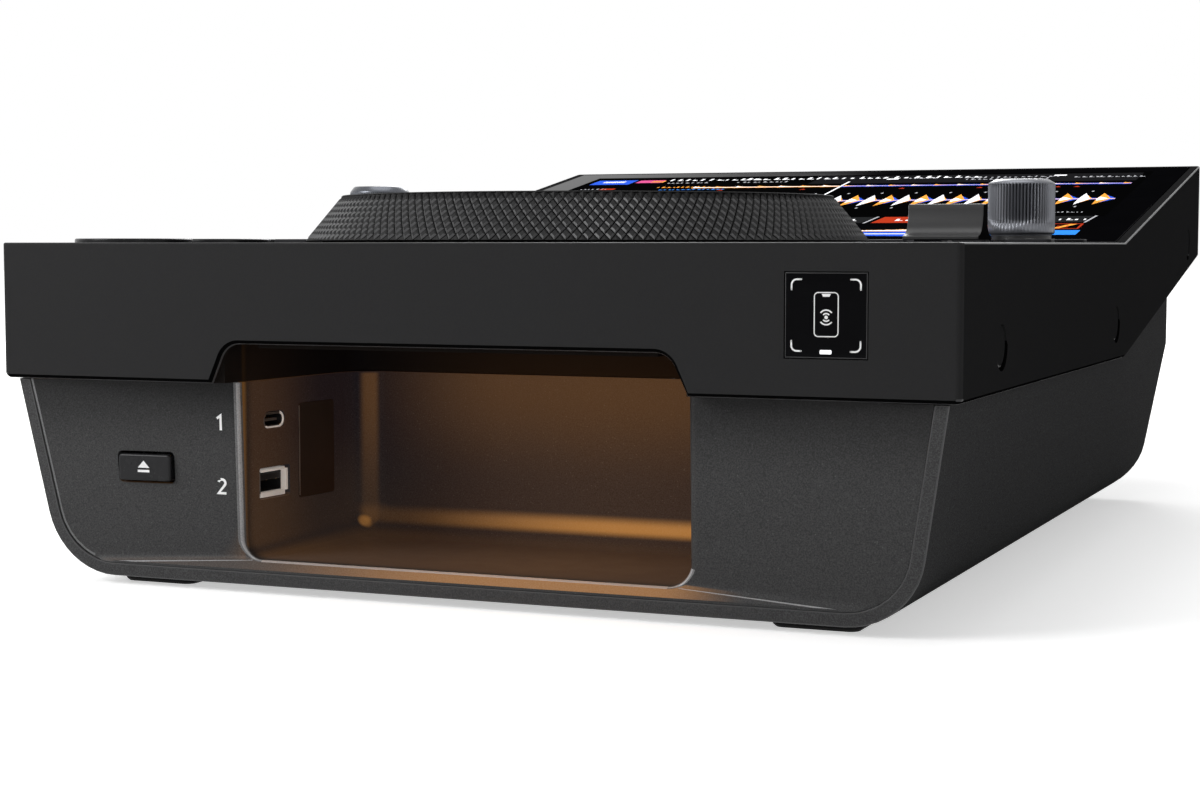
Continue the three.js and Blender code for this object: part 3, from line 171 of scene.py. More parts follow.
class Wiring:
    """Short ways to add and join the nodes of one tree."""

    def __init__(self, tree):
        self.tree = tree

    def add(self, kind, **settings):
        node = self.tree.nodes.new(kind)
        for key, value in settings.items():
            setattr(node, key, value)
        return node

    def join(self, source, target):
        if hasattr(source, "is_output"):
            self.tree.links.new(source, target)
        else:
            target.default_value = source

    def joined(self, kind, given, **settings):
        """A node whose inputs are set or linked as a dictionary says."""
        node = self.add(kind, **settings)
        for label, part in given.items():
            self.join(part, node.inputs[label])
        return node

    def maths(self, operation, first, second=0.0):
        return self.joined("ShaderNodeMath", {0: first, 1: second}, operation=operation).outputs[0]

    def times(self, total, *parts):
        for part in parts:
            total = self.maths("MULTIPLY", total, part)
        return total

    def vector(self, operation, first, second):
        node = self.joined("ShaderNodeVectorMath", {0: first, 1: second}, operation=operation)
        return node.outputs["Value" if operation == "LENGTH" else "Vector"]

    def place(self, source="Object"):
        return self.add("ShaderNodeTexCoord").outputs[source]

    def axes(self, place):
        """The three parts of a vector."""
        return self.joined("ShaderNodeSeparateXYZ", {0: place}).outputs[:]

    def noise(self, place, scale, detail=2.0, rough=0.5):
        given = {"Vector": place, "Scale": scale, "Detail": detail, "Roughness": rough}
        return self.joined("ShaderNodeTexNoise", given).outputs["Fac"]

    def cells(self, place, scale, distance="EUCLIDEAN"):
        given = {"Vector": place, "Scale": scale}
        return self.joined("ShaderNodeTexVoronoi", given, feature="F1", distance=distance).outputs

    def mapped(self, value, low, high, new_low=0.0, new_high=1.0, kind="LINEAR"):
        given = {"Value": value, "From Min": low, "From Max": high, "To Min": new_low, "To Max": new_high}
        return self.joined("ShaderNodeMapRange", given, interpolation_type=kind).outputs["Result"]

    def eased(self, value, low, high, new_low=0.0, new_high=1.0):
        return self.mapped(value, low, high, new_low, new_high, "SMOOTHSTEP")

    def mixed(self, share, first, second, blend="MIX"):
        given = {0: share, 6: first, 7: second}
        return self.joined("ShaderNodeMix", given, data_type="RGBA", blend_type=blend).outputs[2]

    def tinted(self, given, mask):
        """The first given colour turned to the second by a mask, as far as the amount says."""
        return self.mixed(self.times(mask, given["Amount"]), given["Colour"], given["Second Colour"])


def effect(name, extra, build):
    """A node group with the sockets that every effect here shares, filled in by a function."""
    group = bpy.data.node_groups.get(name)
    if group:
        return group
    group = bpy.data.node_groups.new(name, "ShaderNodeTree")
    given = (("Colour", "Color"), ("Second Colour", "Color"), ("Scale", "Float"), ("Amount", "Float"), *extra)
    made = (("Colour", "Color"), ("Value", "Float"), ("Height", "Float"))
    for way, sockets in (("INPUT", given), ("OUTPUT", made)):
        for label, kind in sockets:
            group.interface.new_socket(label, in_out=way, socket_type=f"NodeSocket{kind}")
    nodes = Wiring(group)
    source, target = nodes.add("NodeGroupInput"), nodes.add("NodeGroupOutput")
    for (label, _), part in zip(made, build(nodes, source.outputs, nodes.place())):
        nodes.join(part, target.inputs[label])
    return group


def build_grain(nodes, given, place):
    """Fine moulded grain over broad soft clouds."""
    fine = nodes.noise(place, given["Scale"], 3.0)
    broad = nodes.noise(place, nodes.times(given["Scale"], 0.012), 3.0)
    return nodes.tinted(given, nodes.mapped(fine, 0.35, 0.65)), nodes.mapped(broad, 0.3, 0.7), fine


def build_speckle(nodes, given, place):
    """Paint with a fine salt-and-pepper grain and a few brighter specks."""
    fine = nodes.noise(place, given["Scale"], 1.0, 0.6)
    cells = nodes.cells(place, nodes.times(given["Scale"], 0.55))
    chance = nodes.joined("ShaderNodeSeparateColor", {"Color": cells["Color"]}).outputs["Red"]
    speck = nodes.times(nodes.mapped(cells["Distance"], 0.35, 0.1), nodes.mapped(chance, 0.8, 1.0, 0.0, 0.22))
    light = nodes.mixed(0.4, given["Second Colour"], (0.5, 0.5, 0.5, 1))
    paint = nodes.mixed(speck, nodes.tinted(given, nodes.mapped(fine, 0.36, 0.66)), light)
    broad = nodes.noise(place, 60.0, 3.0)
    return paint, nodes.mapped(broad, 0.3, 0.7), nodes.maths("ADD", fine, speck)


def build_lines(nodes, given, place):
    """The colour, the gloss and the relief of fine lines."""
    lines = nodes.noise(place, given["Scale"], 3.0, 0.6)
    mask = nodes.mapped(lines, 0.3, 0.7)
    return nodes.tinted(given, mask), mask, lines


def build_brushed(nodes, given, place):
    """Fine lines along one way, as brushing or extruding leaves them."""
    return build_lines(nodes, given, nodes.vector("MULTIPLY", place, given["Stretch"]))


def build_turned(nodes, given, place):
    """Fine rings round an upright axis, as turning leaves them."""
    arm = nodes.vector("MULTIPLY", nodes.vector("SUBTRACT", place, given["Centre"]), (1, 1, 0))
    reach = nodes.vector("LENGTH", arm, (0, 0, 0))
    return build_lines(nodes, given, nodes.joined("ShaderNodeCombineXYZ", {"X": reach}).outputs[0])


def build_traces(nodes, given, place):
    """A board's copper lines and pads under lacquer."""
    cells = nodes.cells(place, given["Scale"], "CHEBYCHEV")
    lines = nodes.mapped(nodes.maths("PINGPONG", nodes.times(cells["Distance"], 6.0), 1.0), 0.72, 0.8)
    return nodes.tinted(given, lines), nodes.mapped(nodes.noise(place, 40.0), 0.3, 0.7), lines


def build_dust(nodes, given, place):
    """Faint clouds of dust and touch marks on a smooth face."""
    marks = nodes.mapped(nodes.noise(place, given["Scale"], 4.0, 0.6), 0.42, 0.75)
    return nodes.tinted(given, marks), marks, nodes.noise(place, 900.0)


def build_glow(nodes, given, place):
    """Painted amber light, as emission: the light bar's light on the ramp, the walls and the hollow corners of the
    tub.
    """
    times, eased = nodes.times, nodes.eased
    x, y, z = nodes.axes(place)
    turn_x, turn_y, up = nodes.axes(nodes.place("Normal"))
    across, back = nodes.maths("ABSOLUTE", turn_x), times(turn_y, -1.0)

    def behind(start, end, *shares):
        """Eases along the way back, between two setbacks from the case's front."""
        return eased(y, (FRONT + start) * MM, (FRONT + end) * MM, *shares)

    deep = behind(13, 20)
    # Painted amber light on the tub's floor, back wall and side walls.
    floor = times(eased(up, 0.6, 0.95), behind(20, 72, 0.042, 0.02), eased(x, 0.01, 0.07, 1.0, 0.75))
    wall = times(eased(back, 0.6, 0.95), eased(x, -0.078, -0.015, 0.12, 1.0))
    wall = times(wall, eased(z, 0.03, 0.07, 0.014, 0.062))
    side = times(eased(across, 0.6, 0.95), behind(20, 62, 0.032, 0.007))
    # Painted amber highlights in the hollow fillets along the floor's back and in the back corners.
    foot = times(eased(up, 0.0, 0.36), eased(up, 0.46, 0.7, 1.0, 0.0), eased(back, 0.5, 0.75))
    foot = times(foot, eased(x, -0.06, 0.03, 0.03, 0.34))
    corner = times(eased(across, 0.2, 0.4), eased(across, 0.6, 0.8, 1.0, 0.0), eased(back, 0.5, 0.75))
    corner = times(corner, eased(z, 0.02, 0.065, 0.02, 0.06))
    corner = times(corner, eased(z, (SPLIT - 1.2) * MM, (SPLIT - 0.2) * MM, 1.0, 0.0))
    # A painted highlight where the back, side and floor fillets meet.
    bright = times(eased(times(back, across, up), 0.16, 0.192), 0.16)
    inside = 0.0
    for part in (floor, wall, side, foot, corner, bright):
        inside = nodes.maths("ADD", inside, part)
    # Painted amber light on the ramp below the lip, and a painted fringe beside the mouth's left edge.
    lit = times(eased(x, -0.085, 0.005, 0.07, 1.0), eased(x, 0.066, 0.098, 1.0, 0.0))
    ramp = times(lit, eased(z, 0.0074, 0.0082), eased(up, 0.3, 0.5), behind(13.4, 14, 0.25, 0.0))
    left = eased(x, (1.2 - BAY_HALF) * MM, (0.2 - BAY_HALF) * MM)
    fringe = times(left, behind(12.6, 13.6), behind(13.8, 16.4, 0.09, 0.0))
    share = nodes.maths("ADD", times(deep, inside), nodes.maths("ADD", ramp, fringe))
    light = nodes.mixed(times(share, given["Amount"]), (0, 0, 0, 1), given["Colour"])
    # A faint painted fill through the deep tub: greyish low on the left, faint blue elsewhere.
    low_left = times(eased(z, 0.02, 0.055, 1.0, 0.0), eased(x, -0.078, -0.02, 1.0, 0.0))
    painted_fill = nodes.mixed(low_left, (0.0, 0.0006, 0.0035, 1), (0.0078, 0.0062, 0.0066, 1))
    return nodes.mixed(times(deep, given["Amount"]), light, painted_fill, blend="ADD"), share, share


EFFECTS = {
    "grain": ("Moulded grain", (), build_grain),
    "speckle": ("Paint speckle", (), build_speckle),
    "brushed": ("Brushed lines", (("Stretch", "Vector"),), build_brushed),
    "turned": ("Turned rings", (("Centre", "Vector"),), build_turned),
    "traces": ("Board traces", (), build_traces),
    "dust": ("Dust and touch", (), build_dust),
    "glow": ("Amber glow", (), build_glow),
}

FINISHES = {}


def with_effect(made, kind, **values):
    """Adds a shared effect to a material and gives the wiring, the effect and the shader."""
    nodes = Wiring(made.node_tree)
    group = nodes.add("ShaderNodeGroup")
    group.node_tree = effect(*EFFECTS[kind])
    fill(group, **values)
    return nodes, group, made.node_tree.nodes["Principled BSDF"]


def finish(
    name, kind, colours, scale, amount, rough, bump, metal=0.0, specular=0.5, coat=0.0, glow=0.0, **extra
):
    """A material: one shared effect gives its colour, its uneven gloss and its fine relief."""
    made = FINISHES[name] = bpy.data.materials.new(name)
    made.use_nodes = True
    first, second = ((*part, 1) for part in colours)
    coat_rough = extra.pop("coat_rough", 0.03)
    values = {"Colour": first, "Second_Colour": second, "Scale": scale, "Amount": amount, **extra}
    nodes, group, shader = with_effect(made, kind, **values)
    nodes.join(group.outputs["Colour"], shader.inputs["Base Color"])
    nodes.join(nodes.mapped(group.outputs["Value"], 0.0, 1.0, *rough), shader.inputs["Roughness"])
    given = {"Strength": bump[0], "Distance": bump[1] * MM, "Height": group.outputs["Height"]}
    nodes.join(nodes.joined("ShaderNodeBump", given).outputs["Normal"], shader.inputs["Normal"])
    fill(shader, Metallic=metal, Specular_IOR_Level=specular, Coat_Weight=coat, Coat_Roughness=coat_rough)
    if glow:
        nodes.join(group.outputs["Colour"], shader.inputs["Emission Color"])
        fill(shader, Emission_Strength=glow)


def scaled(colour, share):
    return tuple(min(1.0, part * share) for part in colour)


def soften_gloss(name, full, left=0.0, right=0.0):
    """A coat seen straight on that fades along the surface, there from left to right."""
    nodes = Wiring(FINISHES[name].node_tree)
    facing = nodes.add("ShaderNodeLayerWeight").outputs["Facing"]
    low = nodes.eased(nodes.axes(nodes.place())[0], -HALF * MM, 0.02, left, right)
    weight = nodes.eased(facing, 0.45, 0.75, full, low)
    nodes.join(weight, nodes.tree.nodes["Principled BSDF"].inputs["Coat Weight"])


def shade_upper(name, low, high, share):
    """Darkens a finish upwards between two heights, as below an overhang."""
    nodes = Wiring(FINISHES[name].node_tree)
    base = nodes.tree.nodes["Principled BSDF"].inputs["Base Color"]
    dark = nodes.eased(nodes.axes(nodes.place())[2], low, high, 1.0, share)
    nodes.join(nodes.mixed(1.0, base.links[0].from_socket, dark, blend="MULTIPLY"), base)


def add_bay_glow(name, amber, strength):
    """Paints the amber light that spreads through the bay's tub onto a finish, as emission."""
    nodes, group, shader = with_effect(FINISHES[name], "glow", Colour=(*amber, 1), Amount=strength)
    nodes.join(group.outputs["Colour"], shader.inputs["Emission Color"])
    fill(shader, Emission_Strength=1.0)


# Mesh helpers, all in millimetres


def skin(mesh, loops, number=0, around=False):
    """Skins loops of equally many points. The first and last loop are closed or joined."""
    rows = [[mesh.verts.new(point) for point in loop] for loop in loops]
    pairs = list(zip(rows, rows[1:])) + ([(rows[-1], rows[0])] if around else [])
    count = len(rows[0])
    made = []
    for low, high in pairs:
        for i in range(count):
            j = (i + 1) % count
            made.append(mesh.faces.new((low[i], low[j], high[j], high[i])))
    if not around:
        made += [mesh.faces.new(rows[0][::-1]), mesh.faces.new(rows[-1])]
    for face in made:
        face.material_index = number


def ring(radius, height, count, centre=(0, 0)):
    """A level ring of points."""
    x, y = centre
    turns = [2 * math.pi * i / count for i in range(count)]
    return [Vector((x + radius * math.cos(turn), y + radius * math.sin(turn), height)) for turn in turns]


def rounded_outline(width, depth, radius, steps=4, centre=(0, 0)):
    """The points of a rectangle with round corners."""
    points = []
    for x_sign, y_sign, start in ((1, 1, 0), (-1, 1, 90), (-1, -1, 180), (1, -1, 270)):
        middle_x = centre[0] + x_sign * (width / 2 - radius)
        middle_y = centre[1] + y_sign * (depth / 2 - radius)
        for i in range(steps + 1):
            turn = math.radians(start + 90 * i / steps)
            points.append((middle_x + radius * math.cos(turn), middle_y + radius * math.sin(turn)))
    return points


def bend(start, corner, end, share):
    """A point of a curve that leaves and reaches its ends towards a corner."""
    weights = (1 - share) ** 2, 2 * share * (1 - share), share**2
    return tuple(sum(w * p for w, p in zip(weights, parts)) for parts in zip(start, corner, end))


def bow(x, y, wide, tall, start, end, steps=14):
    """Points along part of an oval, between two turns in degrees."""
    turns = [math.radians(start + (end - start) * i / steps) for i in range(steps + 1)]
    return [(x + wide * math.cos(turn), y + tall * math.sin(turn)) for turn in turns]


def oval(y, wide, tall, steps):
    return bow(0, y, wide, tall, 0, 360, steps)[:-1], True


NUMERALS = {
    "0": [oval(0, 0.52, 0.87, 24)],
    "1": [([(-0.4, 0.48), (0.1, 0.84), (0.1, -1.0)], False)],
    "2": [(bow(0, 0.42, 0.48, 0.45, 165, -32) + [(-0.5, -0.87), (0.58, -0.87)], False)],
    "3": [(bow(-0.02, 0.43, 0.44, 0.44, 150, -75), False), (bow(0, -0.42, 0.52, 0.45, 75, -150), False)],
    "4": [([(0.3, -1.0), (0.3, 0.86), (-0.55, -0.38), (0.62, -0.38)], False)],
    "5": [([(0.48, 0.87), (-0.32, 0.87), (-0.42, 0.06)] + bow(-0.02, -0.35, 0.5, 0.52, 125, -150), False)],
    "6": [oval(-0.38, 0.48, 0.49, 20), ([(-0.44, -0.2), (-0.2, 0.45), (0.22, 0.95)], False)],
    "7": [([(-0.55, 0.87), (0.5, 0.87), (-0.12, -1.0)], False)],
    "8": [oval(0.44, 0.4, 0.43, 20), oval(-0.42, 0.5, 0.46, 20)],
}


class Relief:
    """Low solids on a plane, gathered in one mesh."""

    def __init__(self, plane=None, mesh=None):
        self.mesh = mesh or bmesh.new()
        self.plane = plane or Matrix.Identity(4)

    def loops(self, loops, number=0, around=False):
        placed = [[self.plane @ Vector(point) for point in loop] for loop in loops]
        skin(self.mesh, placed, number, around)

    def levels(self, levels, number=0):
        """Skins outlines, each at its own level."""
        self.loops([[(x, y, level) for x, y in outline] for outline, level in levels], number)

    def prism(self, outline, low, high, number=0):
        self.levels(((outline, low), (outline, high)), number)

    def block(self, x0, x1, y0, y1, low, high, number=0):
        self.prism([(x0, y0), (x1, y0), (x1, y1), (x0, y1)], low, high, number)

    def bar(self, x, y, width, height, low, high, number=0):
        """A block from its middle and its size."""
        self.block(x - width / 2, x + width / 2, y - height / 2, y + height / 2, low, high, number)

    def plate(self, width, depth, radius, low, high, number=0, centre=(0, 0), edge=0.0):
        outline = rounded_outline(width, depth, radius, centre=centre)
        if not edge:
            self.prism(outline, low, high, number)
            return
        inner = rounded_outline(width - 2 * edge, depth - 2 * edge, max(radius - edge, 0.05), centre=centre)
        self.levels(((outline, low), (outline, high - edge), (inner, high)), number)

    def stroke(self, points, width, low, high, number=0, closed=False):
        """A line of even width through points."""
        spots = [Vector(point) for point in points]
        count = len(spots)
        loops = []
        for i, spot in enumerate(spots):
            ways = []
            if i or closed:
                ways.append((spot - spots[i - 1]).normalized())
            if i + 1 < count or closed:
                ways.append((spots[(i + 1) % count] - spot).normalized())
            way = sum(ways, Vector((0, 0))).normalized()
            side = Vector((-way.y, way.x))
            side *= width / 2 / max(0.5, way.dot(ways[0]))
            a, b = spot - side, spot + side
            loops.append([(a.x, a.y, low), (b.x, b.y, low), (b.x, b.y, high), (a.x, a.y, high)])
        self.loops(loops, number, around=closed)

    def numeral(self, text, x, y, tall, low, high, number=0):
        """A plain numeral of even strokes."""
        for points, closed in NUMERALS[text]:
            placed = [(x + px * tall / 2, y + py * tall / 2) for px, py in points]
            self.stroke(placed, tall * 0.16, low, high, number, closed)

    def arc(self, centre, inner, outer, start, end, low, high, number=0, steps=24):
        """A flat band of a ring, between two turns in degrees."""
        whole = abs(end - start) >= 360
        section = ((inner, low), (outer, low), (outer, high), (inner, high))[::-1]
        loops = []
        for i in range(steps + (0 if whole else 1)):
            turn = math.radians(start + (end - start) * i / steps)
            x, y = math.cos(turn), math.sin(turn)
            loops.append([(centre[0] + r * x, centre[1] + r * y, z) for r, z in section])
        self.loops(loops, number, around=whole)

    def disc(self, centre, radius, low, high, number=0, steps=32):
        self.prism([point.xy for point in ring(radius, 0, steps, centre)], low, high, number)

    def turned(self, profile, number=0, steps=64, centre=(0, 0), around=False):
        """A solid of rings, from pairs of radius and height."""
        self.loops([ring(radius, height, steps, centre) for radius, height in profile], number, around)

    def ribbon(self, columns, low, high, number=0):
        """A strip along X, from triples of place, lower edge and upper edge."""
        loops = [[(x, a, low), (x, a, high), (x, b, high), (x, b, low)] for x, a, b in columns]
        self.loops(loops, number)


def from_node(node):
    """A frame node's mesh in millimetres, with its flat faces joined up."""
    mesh = bmesh.new()
    mesh.from_mesh(frame["nodes"][node].data)
    bmesh.ops.scale(mesh, vec=(1 / MM,) * 3, verts=mesh.verts)
    bmesh.ops.remove_doubles(mesh, verts=mesh.verts, dist=0.004)
    bmesh.ops.dissolve_limit(mesh, angle_limit=math.radians(0.6), verts=mesh.verts, edges=mesh.edges)
    return mesh


def sharp_edges(mesh, least=30.0):
    limit = math.radians(least)
    return [edge for edge in mesh.edges if len(edge.link_faces) == 2 and edge.calc_face_angle(0) > limit]


def bevel(mesh, edges, width, steps=2, number=-1):
    """Rounds the edges that are still in the mesh."""
    edges = [edge for edge in edges if edge.is_valid]
    kept = {"offset_type": "OFFSET", "profile": 0.5, "affect": "EDGES", "clamp_overlap": False}
    bmesh.ops.bevel(mesh, geom=edges, offset=width, segments=steps, material=number, **kept)


def middle_of(edge):
    return (edge.verts[0].co + edge.verts[1].co) / 2


def piece(name, mesh, finishes, node=None, rider=None, sharp=38.0):
    """Turns a mesh in millimetres into a named piece, which replaces a frame node and rides on
    its body, or only rides on a node's body, or else stands on the chassis."""
    bmesh.ops.scale(mesh, vec=(MM,) * 3, verts=mesh.verts)
    bmesh.ops.recalc_face_normals(mesh, faces=mesh.faces)
    limit = math.radians(sharp)
    for face in mesh.faces:
        face.smooth = True
    for edge in mesh.edges:
        edge.smooth = len(edge.link_faces) == 2 and edge.calc_face_angle(0) < limit
    data = bpy.data.meshes.new(name)
    mesh.to_mesh(data)
    mesh.free()
    for label in finishes:
        data.materials.append(FINISHES[label])
    made = bpy.data.objects.new(name, data)
    bpy.context.scene.collection.objects.link(made)
    weights = made.modifiers.new("Even shading", "WEIGHTED_NORMAL")
    weights.keep_sharp = True
    if node:
        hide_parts(node)
    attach(made, frame["nodes"][node or rider]["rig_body"] if node or rider else "chassis")


def repaint(label, *nodes):
    """Gives frame nodes that stay a finish."""
    for node in nodes:
        slots = frame["nodes"][node].data.materials
        slots.clear()
        slots.append(FINISHES[label])


def carve(mesh, cutters):
    """Cuts solids out of a solid and gives back what is left."""
    made = []
    for part in (mesh, *cutters):
        bmesh.ops.recalc_face_normals(part, faces=part.faces)
        data = bpy.data.meshes.new("carving")
        part.to_mesh(data)
        part.free()
        made.append(bpy.data.objects.new("carving", data))
        bpy.context.scene.collection.objects.link(made[-1])
    for cutter in made[1:]:
        step = made[0].modifiers.new("Cut", "BOOLEAN")
        step.operation, step.solver, step.object = "DIFFERENCE", "EXACT", cutter
    left = bmesh.new()
    left.from_object(made[0], bpy.context.evaluated_depsgraph_get())
    for item in made:
        data = item.data
        bpy.data.objects.remove(item)
        bpy.data.meshes.remove(data)
    return left


# The leaning front panels, the bay's left wall and the rear panel


def panel_y(x, z):
    """How far back the left or right front panel lies at a place."""
    share = (SHELL_HALF - abs(x)) / (SHELL_HALF - BAY_HALF)
    at_rim = RIM_SETBACK + (SPLIT - z) * FACE_LEAN
    at_bay = BAY_SETBACK + (SPLIT - z) * BAY_LEAN
    return FRONT + at_rim + (at_bay - at_rim) * share


def panel_plane(x, z):
    """A plane on a front panel: X to the right, Y up and Z out of the panel."""
    spot = Vector((x, panel_y(x, z), z))
    across = (Vector((x + 1, panel_y(x + 1, z), z)) - spot).normalized()
    up = (Vector((x, panel_y(x, z + 1), z + 1)) - spot).normalized()
    out = across.cross(up).normalized()
    return Matrix.Translation(spot) @ Matrix((across, out.cross(across), out)).transposed().to_4x4()


def port_plane(setback, height):
    """A plane on the bay's left wall: X to the front, Y up and Z into the bay."""
    taper = (BAY_HALF - BAY_BACK_HALF) / BAY_DEPTH
    spot = Vector((-BAY_HALF + setback * taper, FRONT + BAY_SETBACK + setback, height))
    sine, cosine = math.sin(PORT_TURN), math.cos(PORT_TURN)
    turned = Matrix(((-sine, -cosine, 0), (0, 0, 1), (cosine, -sine, 0))).transposed().to_4x4()
    return Matrix.Translation(spot) @ turned


REAR_SETBACK, REAR_CENTRE, REAR_LEAN = 408.3, 45.0, 9.6
REAR = (
    Matrix.Translation((0, REAR_SETBACK + FRONT, REAR_CENTRE))
    @ Matrix.Rotation(math.radians(-REAR_LEAN), 4, "X")
    @ Matrix.Rotation(math.pi, 4, "Z")
    @ Matrix.Rotation(math.pi / 2, 4, "X")
)


# Finishes by effect and amount. A row has a name, the two colours, the scale, the range of the
# roughness, the relief's strength and distance, and what else is set. A colour is fixed, or
# the name of one of the user's colours with how much lighter or darker it is made.

ROUND_STRETCH, LONG_STRETCH = {"Stretch": (1, 1, 0.3)}, {"Stretch": (1, 0.2, 1)}
JOG_RINGS = {"Centre": tuple(JOG.centre * MM)}

